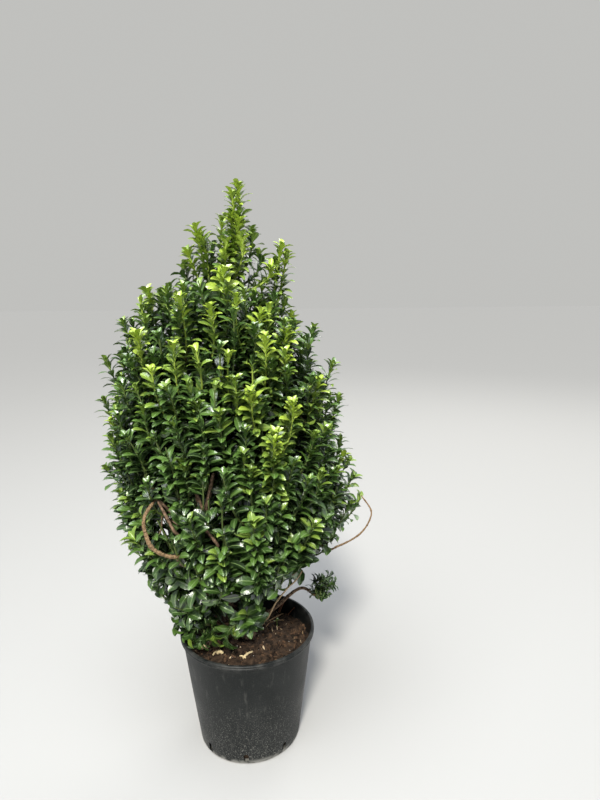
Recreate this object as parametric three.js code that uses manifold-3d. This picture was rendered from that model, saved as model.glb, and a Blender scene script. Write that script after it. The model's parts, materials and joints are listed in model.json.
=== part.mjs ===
import * as THREE from "three";
import { mergeVertices } from "three/addons/utils/BufferGeometryUtils.js";
import Module from "manifold-3d";

// A japanese spindle, a dense upright evergreen shrub, in its black five litre nursery pot.
// Millimetres, +Z up, origin at the centre of the pot's flat underside. The front view looks along +Y.

// The pot: a thin tapered plastic shell with a rolled lip and drainage slots round its foot.
const POT_HEIGHT = 197;
const RIM_RADIUS = 112;
const BASE_RADIUS = 85;
const POT_WALL = 2;
const POT_FLOOR = 2.5;
const POT_SIDES = 40;
const LIP_HEIGHT = 9;
const LIP_OUT = 3;
const FOOT_CHAMFER = 3;
const SLOT_COUNT = 8;
const SLOT_WIDTH = 8;
const SLOT_DEPTH = 16;
const SLOT_LOW = 5;
const SLOT_HIGH = 21;

// The compost: level at the wall, mounded and lumpy towards the stem, with a flat seat for its foot.
const SOIL_LEVEL = 169;
const SOIL_SEAT = 178;
const SEAT_RADIUS = 18;
const SOIL_RINGS = 4;
const SOIL_LUMP = 1.6;
const SOIL_WAVES = { x: 7, y: 5 };

// Touching pieces keep this much air between them.
const SEAM = 0.3;

// The short main stem, flared at the compost, leaning a little to the left.
const TRUNK = { foot: SOIL_SEAT + SEAM, top: 292, lean: -14, radius: 8.5, taper: 0.8 };
const FLARE = { out: 5, share: 0.3 };
const TRUNK_SIDES = 10;
const TRUNK_STEPS = 6;

// The crown's outline: narrow at the pot, widest at the waist, domed above, less deep than wide.
const CROWN = { foot: 199, waist: 440, top: 800, footRadius: 70, waistRadius: 190 };
const CROWN_DEPTH = 0.92;
const CROWN_MIDDLE = -26;
const CROWN_FOOT_SHIFT = -20;
const CROWN_DOME = 2.2;

// Tiers of foliage from the pot upwards. Each ring is a share of the crown's radius at its height,
// and the tier's boughs leave the trunk at two heights by turns. Of a mass's shoots, which would
// grow evenly all round it, only those towards the light are there.
const TIERS = [
  { name: "skirt", count: 4, height: 262, ring: 0.54, turn: 0.5, leave: [202, 206], shoots: 11 },
  { name: "belly", count: 6, height: 385, ring: 0.5, turn: 0.25, leave: [219, 230], shoots: 24 },
  { name: "shoulder", count: 5, height: 545, ring: 0.48, turn: 0.25, leave: [240, 248], shoots: 28 },
  { name: "crest", count: 4, height: 680, ring: 0.5, turn: 0.5, leave: [264, 272], shoots: 20 },
  { name: "spire", count: 1, height: 740, ring: 0, turn: 0, leave: [284], shoots: 12 },
];
// Every second mass of a tier sits this much lower than its neighbours.
const STAGGER = 22;
// Bare hearts along the trunk and above it keep the middle of the crown open for the boughs.
const HEARTS = [
  [-6, 0, 245],
  [-20, 0, 385],
  [-26, 0, 545],
];
const HEIGHT_WEIGHT = 0.7;
const CELL_MARGIN = 1;
const REACH_ERROR = 0.5;

// The upright leaders that stand out of the dome: where each one's tip is.
const LEADERS = [
  { x: 4, y: -5, z: 914 },
  { x: -24, y: 18, z: 874 },
  { x: -57, y: -5, z: 852 },
  { x: 70, y: 5, z: 832 },
];
const LEADER_FOOT = 760;
const LEADER_PAIRS = 4;
const LEADER_LEAF = 34;
const LEADER_RISE = 0.6;

// Boughs, the stems inside the masses and the shoots.
const BOUGH = { foot: 3.6, tip: 2.3, sides: 5, steps: 5, offset: 5.2, bow: 0.38, climb: 0.15 };
const STEM = { foot: 2.3, tip: 2.3, sides: 5, steps: 1 };
const STEM_SHARE = 0.8;
const STEM_DROP = 0.3;
const SHOOT = { foot: 3, tip: 2.2, sides: 3, steps: 2 };
const SHOOT_INSET = 26;
const SHOOT_RISE = 50;
const SHOOT_TESTS = 6;
const LIMB_CLEARANCE = 1.2;

// Leaves stand in crossed pairs up each shoot. They are larger than life, as they are fewer.
const LEAF = { length: 50, width: 38, thick: 2.4, cup: 6, broad: 0.7, root: 0.3 };
const LEAF_INSET = 0.85;
const SMALLER = 0.8;
const PAIR_GAP = 20;
const PAIRS = 3;
const TIP_STUB = 5;
// How far leaves lean from their shoot, at its tip and lower down, in radians, and by how much
// that and their turn round the shoot vary.
const TIP_TILT = 0.5;
const SIDE_TILT = 1.1;
const TILT_CHANCE = 0.15;
const TURN_CHANCE = 0.4;
// Leaves may stand a little way out of the crown's outline. A mass's dense core lies this deep
// under that outline, keeps a gap from its neighbours and is dented by up to a twelfth. It
// reaches at least a little way out from the mass's seed on all sides.
const LEAF_OUT = 16;
const CORE_SHELL = 50;
const CORE_GAP = 2;
const CORE_DENT = 0.08;
const CORE_LEAST = 8;

// The low sprig that hangs out over the pot's rim on the right, by points along its bare stem.
const SPRIG_STEM = [
  [0, 0, 196],
  [42, 12, 218],
  [92, 20, 253],
  [118, 20, 240],
];
const SPRIG_TIPS = [
  [157, 20, 274],
  [146, 34, 264],
  [150, 2, 262],
];
const SPRIG_STEM_LENGTH = 12;
const SPRIG_RISE = 30;
const SPRIG_BALL = { x: 142, y: 20, z: 256, radius: 42 };
const SPRIG_LEAF = 22;
const SPRIG_PAIRS = 3;
const SPRIG_GAP = 11;

// An old bare shoot, as thick as a bough's tip, that loops out of the leaves at the left front.
const LOOP = {
  mass: "belly_5",
  foot: 2.8,
  tip: 2,
  sides: 5,
  steps: 12,
  points: [
    [-50, -130, 390],
    [-85, -148, 391],
    [-113, -150, 408],
    [-127, -148, 434],
    [-126, -142, 458],
    [-112, -112, 474],
  ],
};
// A thin bare shoot that springs out at the right and curls back in over the leaves.
const CURL = {
  mass: "belly_1",
  foot: 1.8,
  tip: 1.2,
  sides: 4,
  steps: 12,
  points: [
    [128, 0, 338],
    [152, 0, 343],
    [188, 0, 369],
    [205, 0, 400],
    [190, 0, 424],
  ],
};
const BARE_AIR = 8;

// Each mass draws its random numbers from a seed of its own, counted from this one.
const FIRST_SEED = 9;

const GREEN = { color: 0x2c4a1a, roughness: 0.45, metalness: 0 };
const BARK = { color: 0x6b5640, roughness: 0.85, metalness: 0 };
const BLACK_PLASTIC = { color: 0x2b2d2e, roughness: 0.55, metalness: 0 };
const COMPOST = { color: 0x33241a, roughness: 0.95, metalness: 0 };

const { clamp, lerp, seededRandom } = THREE.MathUtils;
const WELD = 1e-4;
const wasm = await Module();
wasm.setup();
const plant = new THREE.Group();

// A closed geometry with each corner held once, as it is before it is bent or placed.
function welded(geometry) {
  return mergeVertices(geometry.deleteAttribute("normal").deleteAttribute("uv"), WELD);
}

// Turns a welded geometry into a solid that can be joined and cut.
function solid(geometry) {
  const vertProperties = geometry.attributes.position.array;
  const triVerts = new Uint32Array(geometry.index.array);
  return new wasm.Manifold(new wasm.Mesh({ numProp: 3, vertProperties, triVerts }));
}

// Adds a solid to the plant as a named mesh. Only its largest body is kept, without sealed hollows.
function addPiece(name, made, finish) {
  const [body] = made.decompose().sort((a, b) => b.volume() - a.volume());
  const { vertProperties, triVerts } = body.getMesh();
  const geometry = new THREE.BufferGeometry();
  geometry.setAttribute("position", new THREE.BufferAttribute(vertProperties, 3));
  geometry.setIndex(new THREE.BufferAttribute(triVerts, 1));
  const mesh = new THREE.Mesh(geometry, new THREE.MeshStandardMaterial(finish));
  mesh.name = name;
  plant.add(mesh);
}

// A number between two others, from the seeded row of random numbers.
function between(low, high) {
  return lerp(low, high, seededRandom());
}

// A round tapering limb: a cylinder whose rings are set square to a curve.
function limb(curve, radiusAt, { sides, steps }) {
  const tube = welded(new THREE.CylinderGeometry(1, 1, 1, sides, steps));
  const frames = curve.computeFrenetFrames(steps, false);
  const corners = tube.attributes.position;
  for (let i = 0; i < corners.count; i += 1) {
    const step = Math.round((corners.getY(i) + 0.5) * steps);
    const radius = radiusAt(step / steps);
    const corner = curve.getPointAt(step / steps);
    corner.addScaledVector(frames.binormals[step], corners.getX(i) * radius);
    corner.addScaledVector(frames.normals[step], corners.getZ(i) * radius);
    corners.setXYZ(i, corner.x, corner.y, corner.z);
  }
  return solid(tube);
}

// A limb's radius along its length, made thicker all over by grow.
function taper({ foot, tip }, grow = 0) {
  return (share) => lerp(foot, tip, share) + grow;
}

// POT

function potProfile() {
  const wallAt = (height) => lerp(BASE_RADIUS, RIM_RADIUS - LIP_OUT, height / POT_HEIGHT);
  const lipFoot = POT_HEIGHT - LIP_HEIGHT;
  return [
    [0, 0],
    [BASE_RADIUS - FOOT_CHAMFER, 0],
    [wallAt(FOOT_CHAMFER), FOOT_CHAMFER],
    [wallAt(lipFoot), lipFoot],
    [RIM_RADIUS, lipFoot + LIP_OUT / 2],
    [RIM_RADIUS, POT_HEIGHT - 1],
    [RIM_RADIUS - 1, POT_HEIGHT],
    [wallAt(POT_HEIGHT) - POT_WALL, POT_HEIGHT],
    [wallAt(POT_FLOOR) - POT_WALL, POT_FLOOR],
    [0, POT_FLOOR],
  ].map(([radius, height]) => new THREE.Vector2(radius, height));
}

function pot() {
  const turned = new THREE.LatheGeometry(potProfile(), POT_SIDES).rotateX(Math.PI / 2);
  let shell = solid(welded(turned));
  for (let i = 0; i < SLOT_COUNT; i += 1) {
    const slot = welded(new THREE.BoxGeometry(SLOT_WIDTH, SLOT_DEPTH, SLOT_HIGH - SLOT_LOW));
    slot.translate(0, -BASE_RADIUS, (SLOT_LOW + SLOT_HIGH) / 2);
    slot.rotateZ((i * 2 * Math.PI) / SLOT_COUNT);
    shell = shell.subtract(solid(slot));
  }
  return shell;
}

addPiece("pot", pot(), BLACK_PLASTIC);

// COMPOST

function compost() {
  const insideAt = (height) => {
    const wall = lerp(BASE_RADIUS, RIM_RADIUS - LIP_OUT, height / POT_HEIGHT);
    return wall - POT_WALL - SEAM;
  };
  const floor = POT_FLOOR + SEAM;
  const surface = Array.from({ length: SOIL_RINGS }, (_, i) => {
    const share = i / (SOIL_RINGS - 1);
    return [lerp(insideAt(SOIL_LEVEL), SEAT_RADIUS, share), lerp(SOIL_LEVEL, SOIL_SEAT, share)];
  });
  const profile = [[0, floor], [insideAt(floor), floor], ...surface, [0, SOIL_SEAT]];
  const points = profile.map(([radius, height]) => new THREE.Vector2(radius, height));
  return solid(roughened(welded(new THREE.LatheGeometry(points, POT_SIDES).rotateX(Math.PI / 2))));
}

// Raises and lowers the compost between its rim and its seat, by waves that never meet in step.
function roughened(ball) {
  const corners = ball.attributes.position;
  for (let i = 0; i < corners.count; i += 1) {
    const [x, y, z] = [corners.getX(i), corners.getY(i), corners.getZ(i)];
    const open = z > SOIL_LEVEL + SEAM && z < SOIL_SEAT - SEAM;
    const lump = Math.sin(x / SOIL_WAVES.x) + Math.cos(y / SOIL_WAVES.y);
    if (open) corners.setZ(i, z + SOIL_LUMP * lump);
  }
  return ball;
}

addPiece("compost", compost(), COMPOST);

// TRUNK

function trunkLine(grow = 0) {
  return new THREE.QuadraticBezierCurve3(
    new THREE.Vector3(0, 0, TRUNK.foot),
    new THREE.Vector3(0, 0, (TRUNK.foot + TRUNK.top) / 2),
    new THREE.Vector3(TRUNK.lean, 0, TRUNK.top + grow),
  );
}

function trunk(grow = 0) {
  const radiusAt = (share) => {
    const flare = FLARE.out * Math.max(0, 1 - share / FLARE.share) ** 2;
    return TRUNK.radius * lerp(1, TRUNK.taper, share) + flare + grow;
  };
  return limb(trunkLine(grow), radiusAt, { sides: TRUNK_SIDES, steps: TRUNK_STEPS });
}

addPiece("trunk", trunk(), BARK);

// CROWN AND ITS CELLS

// The crown's middle and radius at a height.
function crownAt(height) {
  const rise = clamp((height - CROWN.foot) / (CROWN.waist - CROWN.foot), 0, 1);
  const fall = clamp((height - CROWN.waist) / (CROWN.top - CROWN.waist), 0, 1);
  const below = lerp(CROWN.footRadius, CROWN.waistRadius, Math.sin((rise * Math.PI) / 2));
  const above = CROWN.waistRadius * (1 - fall ** CROWN_DOME) ** (1 / CROWN_DOME);
  return { middle: CROWN_MIDDLE + CROWN_FOOT_SHIFT * (1 - rise), radius: fall > 0 ? above : below };
}

function inCrown(point, beyond = 0) {
  if (point.z < CROWN.foot || point.z > CROWN.top + beyond) return false;
  const { middle, radius } = crownAt(point.z);
  return Math.hypot(point.x - middle, point.y / CROWN_DEPTH) < radius + beyond;
}

// Each cell belongs to one mass of foliage: the part of the crown nearest to its own seed.
const cells = [];
for (const { name, count, height, ring, turn, leave, shoots } of TIERS) {
  const { middle, radius } = crownAt(height);
  for (let i = 0; i < count; i += 1) {
    const angle = ((i + turn) / count) * 2 * Math.PI;
    const x = middle + radius * ring * Math.cos(angle);
    const y = radius * ring * CROWN_DEPTH * Math.sin(angle);
    const seed = new THREE.Vector3(x, y, height - STAGGER * (i % 2));
    cells.push({ name: `${name}_${i + 1}`, seed, leave: leave[i % leave.length], shoots });
  }
}
const hearts = HEARTS.map((point) => ({ seed: new THREE.Vector3(...point) }));

// The planes that part a cell from all the others, heights counting for less than breadths.
for (const cell of cells) {
  const others = [...cells, ...hearts].filter((other) => other !== cell);
  cell.borders = others.map((other) => {
    const inward = cell.seed.clone().sub(other.seed);
    inward.z *= HEIGHT_WEIGHT;
    inward.normalize();
    const middle = cell.seed.clone().lerp(other.seed, 0.5).addScaledVector(inward, CELL_MARGIN);
    return new THREE.Plane().setFromNormalAndCoplanarPoint(inward, middle);
  });
}

function inCell(cell, point) {
  return cell.borders.every((border) => border.distanceToPoint(point) > 0);
}

// How far a space stretches from a point in a direction.
function reach(from, direction, holds) {
  let inside = 0;
  let outside = CROWN.waistRadius * 2;
  while (outside - inside > REACH_ERROR) {
    const half = (inside + outside) / 2;
    if (holds(from.clone().addScaledVector(direction, half))) inside = half;
    else outside = half;
  }
  return inside;
}

// BOUGHS

// Where a mass's stem begins: from its seed back towards the trunk, turned down a little.
for (const cell of cells) {
  const onTrunk = trunkLine().getPointAt((cell.leave - TRUNK.foot) / (TRUNK.top - TRUNK.foot));
  const outward = cell.seed.clone().sub(onTrunk).setZ(0).normalize();
  cell.start = onTrunk.addScaledVector(outward, BOUGH.offset);
  const back = cell.start.clone().sub(cell.seed).normalize();
  cell.back = back.lerp(new THREE.Vector3(0, 0, -1), STEM_DROP).normalize();
  const inside = (point) => inCell(cell, point) && inCrown(point);
  const stemLength = reach(cell.seed, cell.back, inside) * STEM_SHARE;
  cell.stemFoot = cell.seed.clone().addScaledVector(cell.back, stemLength);
}

// A bough leaves the trunk outwards and turns up to meet its mass's stem end to end.
function boughLine({ start, stemFoot, back }) {
  const tip = stemFoot.clone().addScaledVector(back, SEAM);
  const length = start.distanceTo(tip);
  const first = start.clone().lerp(tip, BOUGH.bow).setZ(start.z + length * BOUGH.climb);
  const second = tip.clone().addScaledVector(back, length * BOUGH.bow);
  return new THREE.CubicBezierCurve3(start, first, second, tip);
}

function smoothLine(points) {
  return new THREE.CatmullRomCurve3(points.map((point) => new THREE.Vector3(...point)));
}

const sprigLine = smoothLine(SPRIG_STEM);
const boughLines = cells.map((cell) => [cell.name, boughLine(cell)]);
boughLines.push(["sprig", sprigLine]);
const trunkSpace = trunk(SEAM);
for (const [name, line] of boughLines) {
  addPiece(`bough_${name}`, limb(line, taper(BOUGH), BOUGH).subtract(trunkSpace), BARK);
}

// FOLIAGE

// The space that no twig may enter: every limb, with some air round it.
const thickBoughs = boughLines.map(([, line]) => limb(line, taper(BOUGH, LIMB_CLEARANCE), BOUGH));
const limbSpace = wasm.Manifold.union([trunk(LIMB_CLEARANCE), ...thickBoughs]);

function isClear(made, space) {
  return made.intersect(space).isEmpty();
}

// A leaf lying along +X from its root, its face up: a cupped kite, broadest past its middle.
function leafShape(length) {
  const shape = welded(new THREE.OctahedronGeometry(0.5));
  const corners = shape.attributes.position;
  for (let i = 0; i < corners.count; i += 1) {
    const [x, y, z] = [corners.getX(i), corners.getY(i), corners.getZ(i)];
    const along = lerp(LEAF.root, length, (x + 0.5) ** LEAF.broad);
    const across = (y * LEAF.width * length) / LEAF.length;
    corners.setXYZ(i, along, across, z * LEAF.thick + Math.abs(y) * LEAF.cup);
  }
  return shape;
}

// Places a leaf by its root, the way it points and the way its face looks.
function leafAt(root, along, face, length) {
  const side = new THREE.Vector3().crossVectors(face, along);
  const place = new THREE.Matrix4().makeBasis(along, side, face).setPosition(root);
  return leafShape(length).applyMatrix4(place);
}

function cornersOf(geometry) {
  const corners = geometry.attributes.position;
  return Array.from({ length: corners.count }, (_, i) =>
    new THREE.Vector3().fromBufferAttribute(corners, i),
  );
}

// The leaves of one shoot: crossed pairs, close and upright at its tip, spread lower down.
// One that would leave its space, touch a limb or touch a leaf of another shoot is skipped.
function leavesOn({ line, pairs, gap, leaf, fits }, others, space) {
  const leaves = [];
  const whole = line.getLength();
  const turn = between(-TURN_CHANCE, TURN_CHANCE);
  const foot = line.getPointAt(0);
  const outward = line.getPointAt(1).sub(foot).setZ(0);
  for (let half = 0; half < pairs * 2; half += 1) {
    const pair = Math.floor(half / 2);
    const share = Math.max(0, 1 - (pair * gap + TIP_STUB) / whole);
    const axis = line.getTangentAt(share);
    const tilt = (pair === 0 ? TIP_TILT : SIDE_TILT) + between(-TILT_CHANCE, TILT_CHANCE);
    const out = outward.clone().projectOnPlane(axis).normalize();
    out.applyAxisAngle(axis, turn + (pair * Math.PI) / 2 + (half % 2) * Math.PI);
    const along = axis.clone().multiplyScalar(Math.cos(tilt)).addScaledVector(out, Math.sin(tilt));
    const face = axis.clone().multiplyScalar(Math.sin(tilt)).addScaledVector(out, -Math.cos(tilt));
    const root = line.getPointAt(share);
    const end = root.clone().addScaledVector(along, leaf);
    if (end.distanceTo(foot) < root.distanceTo(foot)) continue;
    const sizes = [leaf, leaf * SMALLER].map((length) => leafAt(root, along, face, length));
    const blade = sizes.find((size) => cornersOf(size).every(fits));
    if (!blade || !isClear(solid(blade), space)) continue;
    if (others.every((other) => isClear(solid(blade), other))) leaves.push(solid(blade));
  }
  return leaves;
}

// A mass grows from its stem: each shoot that fits, with the leaves that fit on it.
function mass(stem, shoots, space, more = []) {
  const twigs = [limb(stem, taper(STEM), STEM), ...more];
  const leaves = [];
  for (const shoot of shoots) {
    const twig = limb(shoot.line, taper(SHOOT), SHOOT);
    if (!isClear(twig, limbSpace) || !shoot.line.getSpacedPoints(SHOOT_TESTS).every(shoot.fits)) continue;
    twigs.push(twig);
    leaves.push(...leavesOn(shoot, leaves, space));
  }
  return wasm.Manifold.union([...twigs, ...leaves]);
}

// A shoot goes out from the seed and turns up to stand at its tip, in a few straight lengths.
function shootLine(seed, tip, rise) {
  const bend = tip.clone().setZ(Math.max(tip.z - rise, CROWN.foot + LEAF.thick));
  const points = new THREE.QuadraticBezierCurve3(seed, bend, tip).getSpacedPoints(SHOOT.steps);
  const path = new THREE.CurvePath();
  points.slice(1).forEach((point, i) => path.add(new THREE.LineCurve3(points[i], point)));
  return path;
}

// Even directions all round: a spiral from pole to pole.
function directions(count) {
  const golden = Math.PI * (3 - Math.sqrt(5));
  return Array.from({ length: count }, (_, i) => {
    const z = 1 - (2 * i + 1) / count;
    const flat = Math.sqrt(1 - z * z);
    return new THREE.Vector3(flat * Math.cos(golden * i), flat * Math.sin(golden * i), z);
  });
}

// A cell's shoots grow in every direction in which it is open to the light.
function shootsOf(cell) {
  const fits = (point) => inCrown(point, LEAF_OUT) && inCell(cell, point);
  return directions(cell.shoots).flatMap((direction) => {
    const far = reach(cell.seed, direction, (point) => inCrown(point) && inCell(cell, point));
    const beyond = cell.seed.clone().addScaledVector(direction, far + LEAF.thick);
    if (inCrown(beyond) || beyond.z < CROWN.foot) return [];
    const tip = cell.seed.clone().addScaledVector(direction, far - SHOOT_INSET);
    const line = shootLine(cell.seed, tip, SHOOT_RISE);
    return [{ line, pairs: PAIRS, gap: PAIR_GAP, leaf: LEAF.length, fits }];
  });
}

// The leaders over a cell. Above the crown each has the space that is nearest to its own line.
function leadersOf(cell) {
  const over = LEADERS.filter(({ x, y }) => inCell(cell, new THREE.Vector3(x, y, LEADER_FOOT)));
  return over.map((leader) => {
    const tip = new THREE.Vector3(leader.x, leader.y, leader.z - LEADER_LEAF * LEAF_INSET);
    const line = shootLine(cell.seed, tip, (tip.z - cell.seed.z) * LEADER_RISE);
    const away = (point, { x, y }) => Math.hypot(point.x - x, point.y - y);
    const nearest = (point) =>
      LEADERS.every((other) => over.includes(other) || away(point, leader) < away(point, other));
    const fits = (point) => inCell(cell, point) || (!inCrown(point) && nearest(point));
    return { line, pairs: LEADER_PAIRS, gap: PAIR_GAP, leaf: LEADER_LEAF, fits };
  });
}

// The dense core of a mass: its cell, but for the shell of leaves next to the light and the gap
// beside its neighbours, cut clear of the limbs.
function core(cell) {
  const ball = welded(new THREE.IcosahedronGeometry(1, 1));
  const corners = ball.attributes.position;
  for (let i = 0; i < corners.count; i += 1) {
    const direction = new THREE.Vector3().fromBufferAttribute(corners, i).normalize();
    const toBorder = reach(cell.seed, direction, (point) => inCell(cell, point)) - CORE_GAP;
    const toLight = reach(cell.seed, direction, inCrown) - CORE_SHELL;
    const far = Math.max(CORE_LEAST, Math.min(toBorder, toLight)) * between(1 - CORE_DENT, 1);
    const corner = cell.seed.clone().addScaledVector(direction, far);
    corners.setXYZ(i, corner.x, corner.y, corner.z);
  }
  return solid(ball).subtract(limbSpace);
}

// The two bare shoots that loop out of the leaves, each from the seed of the mass that it is part of.
const bareShoots = [LOOP, CURL].map((shoot) => {
  const cell = cells.find(({ name }) => name === shoot.mass);
  const line = smoothLine([cell.seed.toArray(), ...shoot.points]);
  return { cell, line, ...shoot };
});

// Leaves also keep off the bare shoots, so that these show, and out of the sprig's ball of space.
const bareSpaces = bareShoots.map((shoot) => limb(shoot.line, taper(shoot, BARE_AIR), shoot));
const sprigBall = welded(new THREE.IcosahedronGeometry(SPRIG_BALL.radius, 1));
const sprigMiddle = new THREE.Vector3(SPRIG_BALL.x, SPRIG_BALL.y, SPRIG_BALL.z);
sprigBall.translate(...sprigMiddle);
const takenSpace = wasm.Manifold.union([limbSpace, ...bareSpaces, solid(sprigBall)]);

cells.forEach((cell, i) => {
  seededRandom(FIRST_SEED + i);
  const stem = new THREE.LineCurve3(cell.stemFoot, cell.seed);
  const bare = bareShoots.filter((shoot) => shoot.cell === cell);
  const heart = core(cell);
  const more = [heart, ...bare.map((shoot) => limb(shoot.line, taper(shoot), shoot))];
  const shoots = [...leadersOf(cell), ...shootsOf(cell)];
  addPiece(`foliage_${cell.name}`, mass(stem, shoots, takenSpace.add(heart), more), GREEN);
});

// The sprig's own small mass, with small leaves inside its ball of space.
function sprigMass() {
  const onward = sprigLine.getTangentAt(1);
  const tip = sprigLine.getPointAt(1);
  const foot = tip.clone().addScaledVector(onward, SEAM);
  const seed = tip.clone().addScaledVector(onward, SPRIG_STEM_LENGTH);
  const space = SPRIG_BALL.radius - LEAF.thick;
  const fits = (point) => point.distanceTo(sprigMiddle) < space;
  const shoots = SPRIG_TIPS.map((point) => {
    const line = shootLine(seed, new THREE.Vector3(...point), SPRIG_RISE);
    return { line, pairs: SPRIG_PAIRS, gap: SPRIG_GAP, leaf: SPRIG_LEAF, fits };
  });
  return mass(new THREE.LineCurve3(foot, seed), shoots, limbSpace);
}

addPiece("foliage_sprig", sprigMass(), GREEN);

export default plant;
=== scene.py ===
# A japanese spindle in its black five litre nursery pot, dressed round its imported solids.
# Metres, +Z up, origin at the centre of the pot's flat underside. The front view looks along +Y.
import json
import math
import random

import bpy
from mathutils import Matrix, Vector, noise
from mathutils.geometry import interpolate_bezier

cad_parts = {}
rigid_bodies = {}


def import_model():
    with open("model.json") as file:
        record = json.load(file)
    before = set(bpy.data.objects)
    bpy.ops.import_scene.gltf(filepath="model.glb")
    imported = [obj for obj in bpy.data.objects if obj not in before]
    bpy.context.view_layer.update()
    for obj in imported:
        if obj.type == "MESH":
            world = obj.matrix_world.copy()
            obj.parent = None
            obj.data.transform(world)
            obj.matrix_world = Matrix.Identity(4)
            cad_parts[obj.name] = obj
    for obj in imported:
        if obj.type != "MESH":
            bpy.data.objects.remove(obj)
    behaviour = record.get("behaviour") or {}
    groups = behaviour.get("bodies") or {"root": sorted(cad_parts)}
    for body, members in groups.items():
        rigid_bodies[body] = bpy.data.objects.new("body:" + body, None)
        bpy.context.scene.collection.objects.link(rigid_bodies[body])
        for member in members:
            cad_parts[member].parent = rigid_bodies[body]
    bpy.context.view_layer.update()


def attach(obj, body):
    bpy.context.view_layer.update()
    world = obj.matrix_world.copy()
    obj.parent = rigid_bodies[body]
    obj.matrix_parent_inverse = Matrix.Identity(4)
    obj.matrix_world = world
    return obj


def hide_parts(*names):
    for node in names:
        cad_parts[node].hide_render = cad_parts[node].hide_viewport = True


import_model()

# CAMERA, FLOOR AND LIGHT
# The camera stands at eye height about a metre in front of the plant and looks down a little. The
# floor is plain and pale. A soft sun shines from over the camera's left shoulder, and three wide
# lamps and a pale sky light up the shade.
IMAGE_HEIGHT = 800
FOCAL_PIXELS = 601
SENSOR_HEIGHT = 36
CAMERA_PLACE = Vector((0.092, -0.9186, 0.7731))
CAMERA_PITCH = math.radians(11.604)
CAMERA_ROLL = math.radians(-0.546)
FLOOR_HALF = 14
FLOOR_GREY = (0.42, 0.416, 0.405, 1)
FLOOR_ROUGHNESS = 0.9
USUAL_SPECULAR = 0.5
SKY_LIGHT = (0.8, 0.88, 1, 1)
SKY_STRENGTH = 0.42
SKY_SEEN = (0.53, 0.53, 0.513, 1)
LIT_POINT = Vector((0, 0, 0.5))
SUN = {"way": (0.25, 2.3, -2.3), "power": 4.2, "softness": math.radians(9), "colour": (1, 0.97, 0.9)}
LAMPS = {
    "fill": {"place": (2.4, -1.6, 1.6), "size": 2.4, "power": 18, "colour": (0.93, 0.96, 1)},
    "top": {"place": (-0.3, -0.7, 2.2), "size": 1.3, "power": 45, "colour": (0.94, 0.97, 1)},
    "back": {"place": (1.2, 2.2, 2.4), "size": 1.6, "power": 30, "colour": (1, 0.99, 0.96)},
}


def linked(name, data):
    """A new object in the scene that holds this data."""
    made = bpy.data.objects.new(name, data)
    bpy.context.scene.collection.objects.link(made)
    return made


def new_mesh(name, corners, faces=(), edges=()):
    mesh = bpy.data.meshes.new(name)
    mesh.from_pydata(corners, edges, faces)
    return mesh


def node(tree, kind, feeds=None, **settings):
    """A node in a tree. Each input that is named is fed by a socket or set to a value."""
    made = tree.nodes.new(kind)
    for name, value in settings.items():
        setattr(made, name, value)
    for name, feed in (feeds or {}).items():
        if isinstance(feed, bpy.types.NodeSocket):
            tree.links.new(feed, made.inputs[name])
        else:
            made.inputs[name].default_value = feed
    return made


def plain_finish(name, colour, roughness, specular=USUAL_SPECULAR):
    """A material with one colour, and its shader, which more nodes may feed."""
    material = bpy.data.materials.new(name)
    material.use_nodes = True
    shader = material.node_tree.nodes["Principled BSDF"]
    shader.inputs["Base Color"].default_value = colour
    shader.inputs["Roughness"].default_value = roughness
    shader.inputs["Specular IOR Level"].default_value = specular
    return material, shader


def camera():
    lens = bpy.data.cameras.new("camera")
    lens.sensor_width = SENSOR_HEIGHT
    lens.lens = SENSOR_HEIGHT * FOCAL_PIXELS / IMAGE_HEIGHT
    made = linked("camera", lens)
    turn = Matrix.Rotation(math.pi / 2 - CAMERA_PITCH, 3, "X") @ Matrix.Rotation(CAMERA_ROLL, 3, "Z")
    made.matrix_world = Matrix.Translation(CAMERA_PLACE) @ turn.to_4x4()
    bpy.context.scene.camera = made
    return turn


def floor():
    corners = [(x * FLOOR_HALF, y * FLOOR_HALF, 0) for x, y in ((-1, -1), (1, -1), (1, 1), (-1, 1))]
    mesh = new_mesh("floor", corners, [(0, 1, 2, 3)])
    mesh.materials.append(plain_finish("floor", FLOOR_GREY, FLOOR_ROUGHNESS)[0])
    linked("floor", mesh)


def sun():
    light = bpy.data.lights.new("sun", "SUN")
    light.energy = SUN["power"]
    light.angle = SUN["softness"]
    light.color = SUN["colour"]
    linked("sun", light).rotation_euler = Vector(SUN["way"]).to_track_quat("-Z", "Y").to_euler()


def lamps():
    for name, lamp in LAMPS.items():
        light = bpy.data.lights.new(name, "AREA")
        light.size = lamp["size"]
        light.energy = lamp["power"]
        light.color = lamp["colour"]
        made = linked(name, light)
        made.location = lamp["place"]
        made.rotation_euler = (LIT_POINT - made.location).to_track_quat("-Z", "Y").to_euler()


def sky():
    """A pale blue light from all round. The camera sees it in the grey of the far floor instead."""
    world = bpy.data.worlds.new("sky")
    world.use_nodes = True
    tree = world.node_tree
    light = tree.nodes["Background"]
    light.inputs["Color"].default_value = SKY_LIGHT
    light.inputs["Strength"].default_value = SKY_STRENGTH
    seen = node(tree, "ShaderNodeBackground", {"Color": SKY_SEEN}).outputs[0]
    straight = node(tree, "ShaderNodeLightPath").outputs["Is Camera Ray"]
    both = node(tree, "ShaderNodeMixShader", {0: straight, 1: light.outputs[0], 2: seen}).outputs[0]
    tree.links.new(both, tree.nodes["World Output"].inputs["Surface"])
    bpy.context.scene.world = world


camera_turn = camera()
floor()
sun()
lamps()
sky()
bpy.context.scene.view_settings.view_transform = "Standard"

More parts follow.
